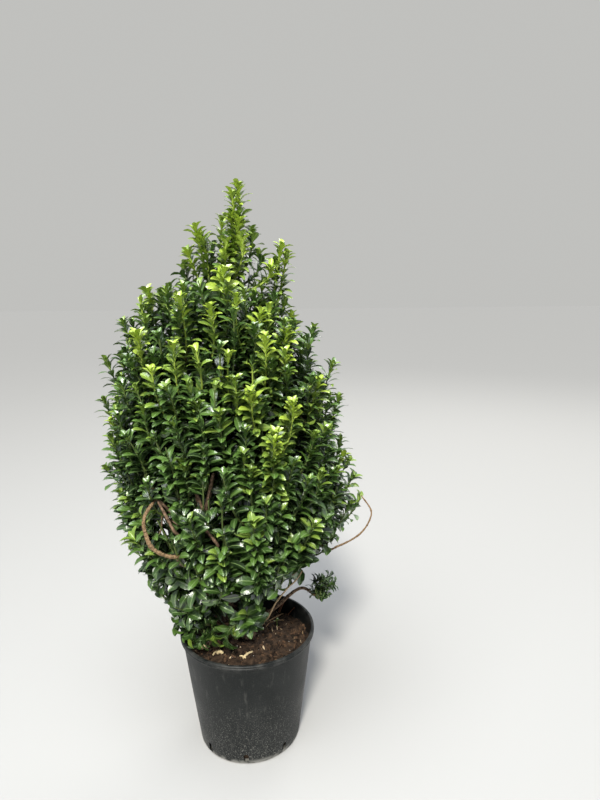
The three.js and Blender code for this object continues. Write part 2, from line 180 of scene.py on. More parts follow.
# THE POT
# A thin blow-moulded polypropylene shell, tapered so that pots nest, with a rolled lip that stiffens
# its rim, a raised ring under its floor to stand on and eight drainage slots round its foot.
POT_HEIGHT = 0.197
RIM_RADIUS = 0.112
BASE_RADIUS = 0.085
LIP_OUT = 0.003
LIP_HEIGHT = 0.009
LIP_ROUND = 0.0022
LIP_STEP = 0.0008
LIP_TURN = 60
POT_WALL = 0.002
POT_FLOOR = 0.0025
FOOT_ROUND = 0.006
FOOT_RING = 0.012
FOOT_RISE = 0.0015
CORNER_STEPS = 6
POT_SIDES = 160
SLOTS = {"count": 8, "width": 0.008, "depth": 0.016, "low": 0.005, "high": 0.021}
SLOT_ROUND_SIDES = 8
SHARP_ANGLE = math.radians(40)

POT_BLACK = (0.0055, 0.0068, 0.0066, 1)
POT_WORN = (0.015, 0.0165, 0.016, 1)
POT_DUST = (0.27, 0.265, 0.24, 1)
POT_CLOUDS = 16
WEAR_EDGE = (0.4, 0.7)
POT_SPECKS = 620
SPECK_EDGE = (0.56, 0.76)
SCUFF_STRETCH = (120, 120, 34)
SCUFF_SCALE = 1
SCUFF_EDGE = (0.6, 0.8)
SCUFF_MOST = 0.16
DUST_HEIGHTS = (0.0, 0.13)
DUST_MOST = 1.0
DUST_LEAST = 0.07
FOOT_DUST = {"heights": (0.003, 0.011), "most": 0.9, "patches": 60, "edge": (0.34, 0.5)}
RIM_DUST = {"heights": (0.188, 0.181), "most": 0.17, "patches": 55, "edge": (0.42, 0.75)}
POT_ROUGHNESS = (0.36, 0.58)
ROUGH_EDGE = (0.3, 0.7)
POT_SPECULAR = 0.22
POT_GRAIN = 1100
POT_GRAIN_DEPTH = 0.00012
CLOUD_DETAIL = 4
FINE_DETAIL = 2


def wall_at(height):
    """The pot's outer radius at a height, lip left out."""
    return BASE_RADIUS + (RIM_RADIUS - LIP_OUT - BASE_RADIUS) * height / POT_HEIGHT


def arc(middle, radius, start, end, steps):
    """Points of an arc in the plane of a turned profile, from one angle in degrees to another."""
    turns = [math.radians(start + (end - start) * i / steps) for i in range(steps + 1)]
    return [(middle[0] + radius * math.cos(turn), middle[1] + radius * math.sin(turn)) for turn in turns]


def turned(name, profile, sides):
    """A round mesh from a profile of (radius, height) that starts and ends on the axis."""
    ends = [(0, 0, profile[0][1]), (0, 0, profile[-1][1])]
    corners = list(ends)
    for radius, height in profile[1:-1]:
        for i in range(sides):
            turn = 2 * math.pi * i / sides
            corners.append((radius * math.cos(turn), radius * math.sin(turn), height))
    faces = []
    last = len(corners) - sides
    for i in range(sides):
        on = (i + 1) % sides
        faces.append((0, 2 + on, 2 + i))
        faces.append((1, last + i, last + on))
        for ring in range(2, last, sides):
            faces.append((ring + i, ring + on, ring + sides + on, ring + sides + i))
    return new_mesh(name, corners, faces)


def pot_profile():
    lip = RIM_RADIUS - LIP_ROUND
    lip_foot = POT_HEIGHT - LIP_HEIGHT
    foot = (BASE_RADIUS - FOOT_ROUND, FOOT_ROUND)
    ring = BASE_RADIUS - FOOT_RING
    inner = wall_at(POT_HEIGHT) - POT_WALL
    round_foot = POT_FLOOR + FOOT_ROUND
    inner_foot = wall_at(round_foot) - POT_WALL
    return [
        (0, FOOT_RISE),
        (ring - FOOT_RISE, FOOT_RISE),
        (ring, 0),
        *arc(foot, FOOT_ROUND, -90, 0, CORNER_STEPS),
        (wall_at(POT_HEIGHT / 2), POT_HEIGHT / 2),
        (wall_at(lip_foot), lip_foot),
        (wall_at(lip_foot) + LIP_STEP, lip_foot + LIP_STEP / 2),
        *arc((lip, lip_foot + LIP_ROUND + LIP_STEP), LIP_ROUND, -LIP_TURN, LIP_TURN, CORNER_STEPS),
        *arc((lip, POT_HEIGHT - LIP_ROUND), LIP_ROUND, -LIP_TURN, 90, CORNER_STEPS),
        *arc((inner + LIP_STEP, POT_HEIGHT - LIP_STEP), LIP_STEP, 90, 180, CORNER_STEPS),
        *arc((inner_foot - FOOT_ROUND, round_foot), FOOT_ROUND, 0, -90, CORNER_STEPS),
        (0, POT_FLOOR),
    ]


def slot_cutters():
    """The eight round-ended blocks that cut the slots, as one mesh."""
    half = SLOTS["width"] / 2
    top = arc((0, SLOTS["high"] - half), half, 0, 180, SLOT_ROUND_SIDES)
    outline = [(half, SLOTS["low"])] + top + [(-half, SLOTS["low"])]
    corners = []
    faces = []
    count = len(outline)
    for i in range(SLOTS["count"]):
        turn = Matrix.Rotation(2 * math.pi * i / SLOTS["count"], 3, "Z")
        first = len(corners)
        for side in (-1, 1):
            depth = -BASE_RADIUS + side * SLOTS["depth"] / 2
            corners += [turn @ Vector((x, depth, z)) for x, z in outline]
        faces.append([first + j for j in range(count)])
        faces.append([first + count + j for j in reversed(range(count))])
        for j in range(count):
            on = (j + 1) % count
            faces.append((first + j, first + count + j, first + count + on, first + on))
    return new_mesh("slots", corners, faces)


def smooth(mesh):
    """Smooth shading, but for creases sharper than the usual angle."""
    mesh.shade_smooth()
    mesh.set_sharp_from_angle(angle=SHARP_ANGLE)


def plain_mesh(carrier, name):
    """The mesh that an object's modifiers make, as a new object at the origin. The old one goes."""
    bpy.context.view_layer.update()
    seen = carrier.evaluated_get(bpy.context.evaluated_depsgraph_get())
    mesh = bpy.data.meshes.new_from_object(seen)
    mesh.name = name
    bpy.data.objects.remove(carrier)
    return linked(name, mesh)


def mix(tree, share, low, high):
    """A colour between two, by a share that is a socket. Where a node has several inputs or outputs
    of one name, here and below, they go by their numbers."""
    feeds = {"Factor": share, 6: low, 7: high}
    return node(tree, "ShaderNodeMix", feeds, data_type="RGBA").outputs[2]


def span(tree, value, low, high, to_low=0.0, to_high=1.0):
    """A number brought from one span to another, and held inside it."""
    feeds = {"Value": value, "From Min": low, "From Max": high, "To Min": to_low, "To Max": to_high}
    return node(tree, "ShaderNodeMapRange", feeds).outputs["Result"]


def clouds(tree, places, scale, detail=CLOUD_DETAIL):
    """Cloudy noise from 0 to 1."""
    feeds = {"Vector": places, "Scale": scale, "Detail": detail}
    return node(tree, "ShaderNodeTexNoise", feeds).outputs["Fac"]


def relief(tree, places, scale, detail, depth):
    """The normal of a fine uneven relief."""
    feeds = {"Height": clouds(tree, places, scale, detail), "Distance": depth}
    return node(tree, "ShaderNodeBump", feeds).outputs[0]


def joined(tree, operation, first, second):
    """The number that an operation makes of two."""
    return node(tree, "ShaderNodeMath", {0: first, 1: second}, operation=operation).outputs[0]


def pot_finish():
    """Matte black plastic: cloudy wear, pale specks of dust towards the foot, a few upright scuffs,
    and dirt along the foot and the rim."""
    material, shader = plain_finish("black_plastic", POT_BLACK, POT_ROUGHNESS[0], POT_SPECULAR)
    tree = material.node_tree
    places = node(tree, "ShaderNodeTexCoord").outputs["Object"]
    height = node(tree, "ShaderNodeSeparateXYZ", {0: places}).outputs["Z"]
    wear = clouds(tree, places, POT_CLOUDS)
    body = mix(tree, span(tree, wear, *WEAR_EDGE), POT_BLACK, POT_WORN)
    low = span(tree, height, *DUST_HEIGHTS, DUST_MOST, DUST_LEAST)
    specks = span(tree, clouds(tree, places, POT_SPECKS, FINE_DETAIL), *SPECK_EDGE)
    dust = joined(tree, "MULTIPLY", specks, low)
    stretched = node(tree, "ShaderNodeMapping", {"Vector": places, "Scale": SCUFF_STRETCH}).outputs[0]
    scuffs = span(tree, clouds(tree, stretched, SCUFF_SCALE), *SCUFF_EDGE, 0, SCUFF_MOST)
    grime = joined(tree, "MAXIMUM", dust, scuffs)
    for band in (FOOT_DUST, RIM_DUST):
        near = span(tree, height, *band["heights"], band["most"], 0)
        patches = span(tree, clouds(tree, places, band["patches"]), *band["edge"])
        grime = joined(tree, "MAXIMUM", grime, joined(tree, "MULTIPLY", near, patches))
    tree.links.new(mix(tree, grime, body, POT_DUST), shader.inputs["Base Color"])
    tree.links.new(span(tree, wear, *ROUGH_EDGE, *POT_ROUGHNESS), shader.inputs["Roughness"])
    grain = relief(tree, places, POT_GRAIN, FINE_DETAIL, POT_GRAIN_DEPTH)
    tree.links.new(grain, shader.inputs["Normal"])
    return material


def pot():
    carrier = linked("pot_shell", turned("pot_shell", pot_profile(), POT_SIDES))
    cutter = linked("slots", slot_cutters())
    cut = carrier.modifiers.new("slots", "BOOLEAN")
    cut.operation = "DIFFERENCE"
    cut.object = cutter
    made = plain_mesh(carrier, "pot_shell")
    bpy.data.objects.remove(cutter)
    smooth(made.data)
    made.data.materials.append(pot_finish())
    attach(made, "root")
    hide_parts("pot")


pot()

# THE COMPOST
# Moist bark and peat compost, filled to a finger's breadth under the rim and mounded a little round
# the stem. Loose crumbs of bark, pale wood chips and grit lie on it.
SOIL_LEVEL = 0.169
SOIL_SEAT = 0.178
SOIL_AIR = 0.0003
SOIL_RINGS = 70
SOIL_SIDES = 150
SOIL_LUMPS = {"height": 0.0055, "size": 52}
SOIL_GRIT = {"height": 0.0026, "size": 170}

# Both compost colours are partly the moist compost's own dark brown and partly painted shade: they are
# darkened further to stand for the shadow that falls over the compost.
SHADED_SOIL_DARK = (0.012, 0.007, 0.004, 1)
SHADED_SOIL_LIGHT = (0.062, 0.038, 0.023, 1)
# A skin has the scales of its mottled clouds and of its rough grain, and how deep the grain is.
SOIL_SKIN = {"clouds": 120, "grain": 700, "depth": 0.0012, "roughness": 0.95}
GRAINY_SPECULAR = 0.25
MOTTLE_EDGE = (0.35, 0.68)
DEEP_DETAIL = 6

CRUMB_COLOURS = {
    "bark_crumbs": ((0.017, 0.011, 0.007, 1), (0.088, 0.05, 0.028, 1)),
    "wood_chips": ((0.27, 0.18, 0.1, 1), (0.55, 0.42, 0.27, 1)),
    "grit": ((0.45, 0.43, 0.4, 1), (0.72, 0.69, 0.62, 1)),
}
CRUMBS = {
    "bark_crumbs": {"density": 21000, "least": 0.0016, "most": 0.0068, "flat": 0.45, "long": 1.8, "seed": 3},
    "wood_chips": {"density": 1500, "least": 0.0016, "most": 0.0056, "flat": 0.25, "long": 2.8, "seed": 5},
    "grit": {"density": 1300, "least": 0.001, "most": 0.0022, "flat": 0.8, "long": 1.1, "seed": 8},
}
CRUMB_SHAPES = 3
SCRAP_SHADES = (0.6, 1.35)
SCRAP_SKIN = {"clouds": 900, "grain": 2400, "depth": 0.0003, "roughness": 0.95}
CRUMB_ROUGH = 0.35
FACES_UP = 0.5
LIGHT_CHANCE = 0.5


def soil_height(x, y):
    """The compost mounds up towards the stem, and is lumpy and gritty all over."""
    radius = math.hypot(x, y)
    share = min(1, radius / (wall_at(SOIL_LEVEL) - POT_WALL))
    lumps = SOIL_LUMPS["height"] * noise.noise(Vector((x, y, 0)) * SOIL_LUMPS["size"])
    grit = SOIL_GRIT["height"] * noise.noise(Vector((x, y, 1)) * SOIL_GRIT["size"])
    return SOIL_SEAT + (SOIL_LEVEL - SOIL_SEAT) * share + lumps + grit


def soil_mesh():
    floor_radius = wall_at(POT_FLOOR) - POT_WALL - FOOT_ROUND
    brim = wall_at(SOIL_LEVEL) - POT_WALL - SOIL_AIR
    rings = [(brim * i / SOIL_RINGS, SOIL_LEVEL) for i in range(SOIL_RINGS, 0, -1)]
    floor_height = POT_FLOOR + FOOT_ROUND / 2
    side_foot = (floor_radius + FOOT_ROUND / 2, FOOT_ROUND * 2)
    profile = [(0, floor_height), (floor_radius, floor_height), side_foot]
    mesh = turned("compost", [*profile, *rings, (0, SOIL_LEVEL)], SOIL_SIDES)
    for corner in mesh.vertices:
        if corner.co.z > SOIL_LEVEL - SOIL_AIR:
            corner.co.z = soil_height(corner.co.x, corner.co.y)
    return mesh


def grainy_finish(name, dark, light, skin):
    """A finish mottled between two colours, with a fine rough relief."""
    material, shader = plain_finish(name, dark, skin["roughness"], GRAINY_SPECULAR)
    tree = material.node_tree
    places = node(tree, "ShaderNodeTexCoord").outputs["Object"]
    mottle = span(tree, clouds(tree, places, skin["clouds"], DEEP_DETAIL), *MOTTLE_EDGE)
    tree.links.new(mix(tree, mottle, dark, light), shader.inputs["Base Color"])
    grain = relief(tree, places, skin["grain"], DEEP_DETAIL, skin["depth"])
    tree.links.new(grain, shader.inputs["Normal"])
    return material


def scrap_finish(name, colour):
    """The rough finish of a scrap of wood or stone, mottled about one colour."""
    dark, light = ([part * shade for part in colour[:3]] + [1] for shade in SCRAP_SHADES)
    return grainy_finish(name, dark, light, SCRAP_SKIN)


def new_tree(name, sockets):
    """A tree of geometry nodes with a carrier geometry and named inputs, and its entry and exit."""
    tree = bpy.data.node_groups.new(name, "GeometryNodeTree")
    tree.interface.new_socket("Carrier", in_out="INPUT", socket_type="NodeSocketGeometry")
    tree.interface.new_socket("Made", in_out="OUTPUT", socket_type="NodeSocketGeometry")
    for label, kind in sockets.items():
        tree.interface.new_socket(label, in_out="INPUT", socket_type=f"NodeSocket{kind}")
    entry = tree.nodes.new("NodeGroupInput")
    leave = tree.nodes.new("NodeGroupOutput")
    return tree, entry.outputs, leave.inputs


def made_by(tree, carrier, name, values):
    """The plain mesh that a tree makes from a carrier, whose inputs are set before it is looked at."""
    modifier = carrier.modifiers.new("made", "NODES")
    modifier.node_group = tree
    for item in tree.interface.items_tree:
        if item.name in values:
            modifier[item.identifier] = values[item.name]
    return plain_mesh(carrier, name)


def attribute(tree, name, kind):
    """What points or faces have been given under a name."""
    return node(tree, "GeometryNodeInputNamedAttribute", {"Name": name}, data_type=kind).outputs[0]


def with_finish(tree, geometry, finish, where=True):
    """Gives a finish to the faces that are picked."""
    feeds = {"Geometry": geometry, "Selection": where, "Material": finish}
    return node(tree, "GeometryNodeSetMaterial", feeds).outputs[0]


def laid(tree, points, shelf, pick, turn, size):
    """One of a collection's shapes laid at each point, turned and sized."""
    feeds = {"Collection": shelf, "Separate Children": True, "Reset Children": True}
    shapes = node(tree, "GeometryNodeCollectionInfo", feeds).outputs[0]
    return node(tree, "GeometryNodeInstanceOnPoints", {
        "Points": points, "Instance": shapes, "Pick Instance": True, "Instance Index": pick,
        "Rotation": turn, "Scale": size,
    }).outputs[0]


def scatter_tree():
    """Scatters shapes over what faces up on the carrier, turned any way, each of a size of its own."""
    tree, given, out = new_tree("scatter", {
        "Shapes": "Collection", "Density": "Float", "Seed": "Int",
        "Least": "Float", "Most": "Float", "Dark": "Material", "Light": "Material",
    })

    def drawn(kind, output, feeds):
        """A random value for each point."""
        feeds = {**feeds, "Seed": given["Seed"]}
        return node(tree, "FunctionNodeRandomValue", feeds, data_type=kind).outputs[output]

    normal = node(tree, "GeometryNodeInputNormal").outputs[0]
    up = node(tree, "ShaderNodeSeparateXYZ", {0: normal}).outputs["Z"]
    upward = node(tree, "FunctionNodeCompare", {"A": up, "B": FACES_UP}, operation="GREATER_THAN").outputs[0]
    points = node(tree, "GeometryNodeDistributePointsOnFaces", {
        "Mesh": given["Carrier"], "Selection": upward, "Density": given["Density"], "Seed": given["Seed"],
    }).outputs["Points"]
    angles = drawn("FLOAT_VECTOR", 0, {0: (0, 0, 0), 1: (math.tau, math.tau, math.tau)})
    turn = node(tree, "FunctionNodeEulerToRotation", {0: angles}).outputs[0]
    size = drawn("FLOAT", 1, {2: given["Least"], 3: given["Most"]})
    pick = drawn("INT", 2, {4: 0, 5: CRUMB_SHAPES - 1})
    crumbs = laid(tree, points, given["Shapes"], pick, turn, size)
    light = drawn("BOOLEAN", 3, {"Probability": LIGHT_CHANCE})
    stored = node(tree, "GeometryNodeStoreNamedAttribute", {
        "Geometry": crumbs, "Name": "light", "Value": light,
    }, data_type="BOOLEAN", domain="INSTANCE").outputs[0]
    real = node(tree, "GeometryNodeRealizeInstances", {"Geometry": stored}).outputs[0]
    dark = with_finish(tree, real, given["Dark"])
    both = with_finish(tree, dark, given["Light"], attribute(tree, "light", "BOOLEAN"))
    tree.links.new(both, out["Made"])
    return tree


def shape_shelf(name, meshes):
    """A collection, outside the scene, of the shapes that a tree lays."""
    shelf = bpy.data.collections.new(name)
    for i, mesh in enumerate(meshes):
        shelf.objects.link(bpy.data.objects.new(f"{name}_{i}", mesh))
    return shelf


def clear_shelf(shelf):
    for shape in list(shelf.objects):
        bpy.data.meshes.remove(shape.data)
    bpy.data.collections.remove(shelf)


def crumb_mesh(flat, long, seed):
    """A rough lump of unit size: a cube's corners and face middles, each moved in or out."""
    dice = random.Random(seed)
    corners = [Vector((x, y, z)).normalized() for x in (-1, 1) for y in (-1, 1) for z in (-1, 1)]
    sides = ((0, 1, 3, 2), (4, 6, 7, 5), (0, 4, 5, 1), (2, 3, 7, 6), (0, 2, 6, 4), (1, 5, 7, 3))
    faces = []
    for ring in sides:
        middle = len(corners)
        corners.append(sum((corners[corner] for corner in ring), Vector()).normalized())
        for i, corner in enumerate(ring):
            faces.append((middle, corner, ring[(i + 1) % len(ring)]))
    moved = [corner * dice.uniform(1 - CRUMB_ROUGH, 1) for corner in corners]
    return new_mesh("crumb", [(p.x * long / 2, p.y / 2, p.z * flat / 2) for p in moved], faces)


def compost():
    made = linked("compost_fill", soil_mesh())
    smooth(made.data)
    made.data.materials.append(grainy_finish("compost", SHADED_SOIL_DARK, SHADED_SOIL_LIGHT, SOIL_SKIN))
    scatter = scatter_tree()
    for name, crumb in CRUMBS.items():
        shelf = shape_shelf(name, [crumb_mesh(crumb["flat"], crumb["long"], i) for i in range(CRUMB_SHAPES)])
        dark, light = (scrap_finish(name, colour) for colour in CRUMB_COLOURS[name])
        values = {
            "Shapes": shelf, "Density": crumb["density"], "Seed": crumb["seed"],
            "Least": crumb["least"], "Most": crumb["most"], "Dark": dark, "Light": light,
        }
        scattered = made_by(scatter, linked(name, made.data.copy()), name, values)
        clear_shelf(shelf)
        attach(scattered, "root")
    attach(made, "root")
    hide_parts("compost")


compost()

# THE TRUNK AND BOUGHS
# One short woody stem, flared where it enters the compost, forks at once into boughs as thick as
# pencils that bow outwards and up into each mass of leaves. Their bark is grey brown and corky.
SEAM = 0.0003
TRUNK = {"foot": SOIL_SEAT + SEAM, "top": 0.292, "lean": -0.014, "radius": 0.0085, "taper": 0.8}
FLARE = {"out": 0.005, "share": 0.3}
BOUGH = {"foot": 0.0036, "tip": 0.0023, "offset": 0.0052, "bow": 0.38, "climb": 0.15}
TRUNK_RING_GAP = 0.0014
TRUNK_SIDES = 40
TRUNK_STEPS = 100
BOUGH_RING_GAP = 0.003
BOUGH_SIDES = 12
STEM_SHARE = 0.8
STEM_DROP = 0.3
RELIEF = {"trunk": 0.0011, "bough": 0.00055}
RIDGE_SIZE = 420
RIDGE_LENGTH = 0.3
BEND_PULL = 2 / 3
WOODS = ("Old", "Green", "Fresh")
OLD, GREEN, FRESH = range(3)

CROWN = {
    "foot": 0.199, "waist": 0.44, "top": 0.8, "foot_radius": 0.07, "waist_radius": 0.19,
    "middle": -0.026, "foot_shift": -0.02, "top_shift": 0, "swell": 1, "dome": 2.2,
}
CROWN_DEPTH = 0.92
# The masses stand in rings, tier on tier. Each tier has how many masses and how high they are, how far
# out and turned how far, their number of main shoots, and where their boughs leave the trunk.
TIERS = {
    "skirt": {
        "count": 4, "height": 0.262, "ring": 0.54, "turn": 0.5, "shoots": 11, "leave": (0.202, 0.206),
    },
    "belly": {
        "count": 6, "height": 0.385, "ring": 0.5, "turn": 0.25, "shoots": 24, "leave": (0.219, 0.23),
    },
    "shoulder": {
        "count": 5, "height": 0.545, "ring": 0.48, "turn": 0.25, "shoots": 28, "leave": (0.24, 0.248),
    },
    "crest": {
        "count": 4, "height": 0.68, "ring": 0.5, "turn": 0.5, "shoots": 20, "leave": (0.264, 0.272),
    },
    "spire": {
        "count": 1, "height": 0.74, "ring": 0, "turn": 0, "shoots": 12, "leave": (0.284,),
    },
}
STAGGER = 0.022
# These seeds have no mass. Their cells are the bare inside of the crown.
HEARTS = ((-0.006, 0, 0.245), (-0.02, 0, 0.385), (-0.026, 0, 0.545))
HEIGHT_WEIGHT = 0.7
CELL_MARGIN = 0.001
REACH_ERROR = 0.0005

BARK_DARK = (0.05, 0.03, 0.018, 1)
BARK_LIGHT = (0.27, 0.175, 0.11, 1)
BARK_SKIN = {"clouds": 260, "grain": 1500, "depth": 0.0005, "roughness": 0.85}


def lerp(low, high, share):
    return low + (high - low) * share


def held(value, low=0, high=1):
    return max(low, min(high, value))


def crown_at(height, crown):
    """A crown's middle and radius at a height: narrow at the pot, widest at its waist, domed above."""
    rise = held((height - crown["foot"]) / (crown["waist"] - crown["foot"]))
    fall = held((height - crown["waist"]) / (crown["top"] - crown["waist"]))
    below = lerp(crown["foot_radius"], crown["waist_radius"], math.sin(rise * math.pi / 2) ** crown["swell"])
    above = crown["waist_radius"] * (1 - fall ** crown["dome"]) ** (1 / crown["dome"])
    middle = crown["middle"] + crown["foot_shift"] * (1 - rise) + crown["top_shift"] * fall
    return middle, above if fall > 0 else below


def in_crown(point, crown=CROWN, beyond=0):
    """Whether a point is inside a crown, or beyond it by no more than this."""
    if point.z < crown["foot"] or point.z > crown["top"] + beyond:
        return False
    middle, radius = crown_at(point.z, crown)
    return math.hypot(point.x - middle, point.y / CROWN_DEPTH) < radius + beyond


def crown_point(middle, out, angle, height):
    """The point this far out from the crown's middle and this far round it. The crown is less deep
    than it is wide."""
    return Vector((middle + out * math.cos(angle), out * CROWN_DEPTH * math.sin(angle), height))


def bezier(start, first, second, end, steps):
    return interpolate_bezier(start, first, second, end, steps + 1)


def bent(start, bend, end, steps):
    """A bow from start to end that is drawn towards one bend."""
    return bezier(start, start.lerp(bend, BEND_PULL), end.lerp(bend, BEND_PULL), end, steps)


def length_of(line):
    return sum((line[i + 1] - line[i]).length for i in range(len(line) - 1))


def trunk_line(steps):
    foot = Vector((0, 0, TRUNK["foot"]))
    bend = Vector((0, 0, (TRUNK["foot"] + TRUNK["top"]) / 2))
    return bent(foot, bend, Vector((TRUNK["lean"], 0, TRUNK["top"])), steps)


def masses():
    """Each mass of foliage has the cell of the crown that is nearest to its own seed."""
    cells = []
    for tier, rule in TIERS.items():
        middle, radius = crown_at(rule["height"], CROWN)
        for i in range(rule["count"]):
            angle = (i + rule["turn"]) / rule["count"] * math.tau
            height = rule["height"] - STAGGER * (i % 2)
            cells.append({
                "name": f"{tier}_{i + 1}",
                "seed": crown_point(middle, radius * rule["ring"], angle, height),
                "leave": rule["leave"][i % len(rule["leave"])],
                "shoots": rule["shoots"],
            })
    seeds = [cell["seed"] for cell in cells] + [Vector(heart) for heart in HEARTS]
    for cell in cells:
        cell["borders"] = [border(cell["seed"], other) for other in seeds if other != cell["seed"]]
    return cells


def border(seed, other):
    """The plane that parts two seeds, heights counting for less: the way inward and its offset."""
    inward = seed - other
    inward.z *= HEIGHT_WEIGHT
    inward.normalize()
    return inward, inward.dot(seed.lerp(other, 0.5) + inward * CELL_MARGIN)


def in_cell(cell, point):
    return all(inward.dot(point) > offset for inward, offset in cell["borders"])


def reach(start, direction, holds):
    """How far a space stretches from a point in a direction."""
    inside, outside = 0, CROWN["waist_radius"] * 2
    while outside - inside > REACH_ERROR:
        half = (inside + outside) / 2
        if holds(start + direction * half):
            inside = half
        else:
            outside = half
    return inside


def lay_bough(cell):
    """Where a mass's bough leaves the trunk and where its stem begins, as the solids have them."""
    share = (cell["leave"] - TRUNK["foot"]) / (TRUNK["top"] - TRUNK["foot"])
    on_trunk = trunk_line(TRUNK_STEPS)[round(share * TRUNK_STEPS)]
    outward = cell["seed"] - on_trunk
    outward.z = 0
    cell["start"] = on_trunk + outward.normalized() * BOUGH["offset"]
    straight = (cell["start"] - cell["seed"]).normalized()
    back = straight.lerp(Vector((0, 0, -1)), STEM_DROP).normalized()
    far = reach(cell["seed"], back, lambda point: in_cell(cell, point) and in_crown(point))
    cell["stem_foot"] = cell["seed"] + back * far * STEM_SHARE
    tip = cell["stem_foot"]
    length = (cell["start"] - tip).length
    first = cell["start"].lerp(tip, BOUGH["bow"])
    first.z = cell["start"].z + length * BOUGH["climb"]
    second = tip + back * length * BOUGH["bow"]
    steps = round(length / BOUGH_RING_GAP)
    return bezier(cell["start"], first, second, tip, steps)


def limb_tree():
    """Skins the carrier's lines with round tapering limbs, each painted by its points' own colour."""
    tree, given, out = new_tree("limbs", {"Sides": "Int", **{wood: "Material" for wood in WOODS}})
    lines = node(tree, "GeometryNodeMeshToCurve", {"Mesh": given["Carrier"]}).outputs[0]
    ring = node(tree, "GeometryNodeCurvePrimitiveCircle", {"Resolution": given["Sides"], "Radius": 1.0})
    skin = node(tree, "GeometryNodeCurveToMesh", {
        "Curve": lines, "Profile Curve": ring.outputs[0],
        "Scale": attribute(tree, "thick", "FLOAT"), "Fill Caps": True,
    }).outputs[0]
    soft = node(tree, "GeometryNodeSetShadeSmooth", {"Geometry": skin}).outputs[0]
    real = node(tree, "GeometryNodeRealizeInstances", {"Geometry": soft}).outputs[0]
    tree.links.new(painted(tree, real, [given[wood] for wood in WOODS]), out["Made"])
    return tree


def compared(tree, number, other, operation="EQUAL"):
    """How a whole number compares with another one."""
    settings = {"data_type": "INT", "operation": operation}
    return node(tree, "FunctionNodeCompare", {2: number, 3: other}, **settings).outputs[0]


def painted(tree, geometry, finishes):
    """Gives each face the finish that its own colour number stands for."""
    colour = attribute(tree, "colour", "INT")
    for i, finish in enumerate(finishes):
        geometry = with_finish(tree, geometry, finish, compared(tree, colour, i))
    return geometry


def set_values(mesh, name, kind, values, domain="POINT"):
    """An attribute of a mesh, with a value for each of its points or faces."""
    word = "vector" if kind == "FLOAT_VECTOR" else "value"
    mesh.attributes.new(name, kind, domain).data.foreach_set(word, values)


def carry_lines(name, limbs):
    """A carrier mesh of open lines. Each limb has its line's points, and their radii and colours."""
    corners = [point for limb in limbs for point in limb["line"]]
    edges = []
    first = 0
    for limb in limbs:
        count = len(limb["line"])
        edges += [(first + i, first + i + 1) for i in range(count - 1)]
        first += count
    mesh = new_mesh(name, corners, edges=edges)
    set_values(mesh, "thick", "FLOAT", [radius for limb in limbs for radius in limb["radii"]])
    set_values(mesh, "colour", "INT", [number for limb in limbs for number in limb["colours"]])
    return linked(name, mesh)


def tapered(line, foot, tip, colour=OLD):
    """A limb: its line, and at each point its radius and its colour's number."""
    count = len(line) - 1
    radii = [lerp(foot, tip, i / count) for i in range(count + 1)]
    return {"line": line, "radii": radii, "colours": [colour] * (count + 1)}


def roughen_bark(mesh, depth):
    """Long furrows and ridges pressed into a limb's skin."""
    normals = [corner.normal.copy() for corner in mesh.vertices]
    for corner, normal in zip(mesh.vertices, normals):
        place = Vector((corner.co.x, corner.co.y, corner.co.z * RIDGE_LENGTH)) * RIDGE_SIZE
        corner.co += normal * depth * noise.noise(place)


bark = grainy_finish("bark", BARK_DARK, BARK_LIGHT, BARK_SKIN)
limbs_of = limb_tree()
cells = masses()


def grown_limbs(name, limbs, sides, finishes):
    """Lines skinned as limbs, in the finishes for old, green and fresh wood."""
    values = {"Sides": sides, **dict(zip(WOODS, finishes))}
    return made_by(limbs_of, carry_lines(name, limbs), name, values)


def trunk():
    steps = round((TRUNK["top"] - TRUNK["foot"]) / TRUNK_RING_GAP)
    limb = tapered(trunk_line(steps), TRUNK["radius"], TRUNK["radius"] * TRUNK["taper"])
    for i in range(steps + 1):
        limb["radii"][i] += FLARE["out"] * max(0, 1 - i / steps / FLARE["share"]) ** 2
    made = grown_limbs("trunk_bark", [limb], TRUNK_SIDES, [bark] * 3)
    roughen_bark(made.data, RELIEF["trunk"])
    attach(made, "root")
    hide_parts("trunk")


def boughs():
    limbs = [tapered(lay_bough(cell), BOUGH["foot"], BOUGH["tip"]) for cell in cells]
    made = grown_limbs("boughs_bark", limbs, BOUGH_SIDES, [bark] * 3)
    roughen_bark(made.data, RELIEF["bough"])
    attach(made, "root")
    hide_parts(*[f"bough_{cell['name']}" for cell in cells])


trunk()
boughs()

# THE LEAVES AND TWIGS
# Each mass's stem forks into upright shoots, and these into finer ones. Small leathery leaves stand
# on them in crossed pairs: lime green and folded at the tips, dark, broad and arching lower down.
LEAF_COLOURS = {
    "deep": (0.014, 0.03, 0.008, 1),
    "dark": (0.039, 0.083, 0.017, 1),
    "green": (0.074, 0.146, 0.026, 1),
    "fresh": (0.155, 0.245, 0.034, 1),
    "lime": (0.31, 0.42, 0.045, 1),
}
RIB_COLOURS = {
    "old_rib": (0.17, 0.26, 0.09, 1),
    "young_rib": (0.34, 0.44, 0.1, 1),
}
LEAF_ROUGHNESS = 0.3
LEAF_WAX = 0.85
LEAF_WAX_ROUGHNESS = 0.3
LEAF_RIPPLES = 330
LEAF_RIPPLE_DEPTH = 0.0006
TWIG_COLOURS = {
    "old_twig": (0.13, 0.085, 0.045, 1),
    "green_twig": (0.08, 0.115, 0.024, 1),
    "fresh_twig": (0.27, 0.35, 0.05, 1),
}
TWIG_ROUGHNESS = 0.55

LEAF_STATIONS = (0, 0.2, 0.45, 0.7, 0.89, 1)
LEAF_FULLEST = 1.36
LEAF_ROUNDNESS = 0.78
PETIOLE_HALF = 0.03
RIB_HALF = 0.018
BLADE_SPANS = 3
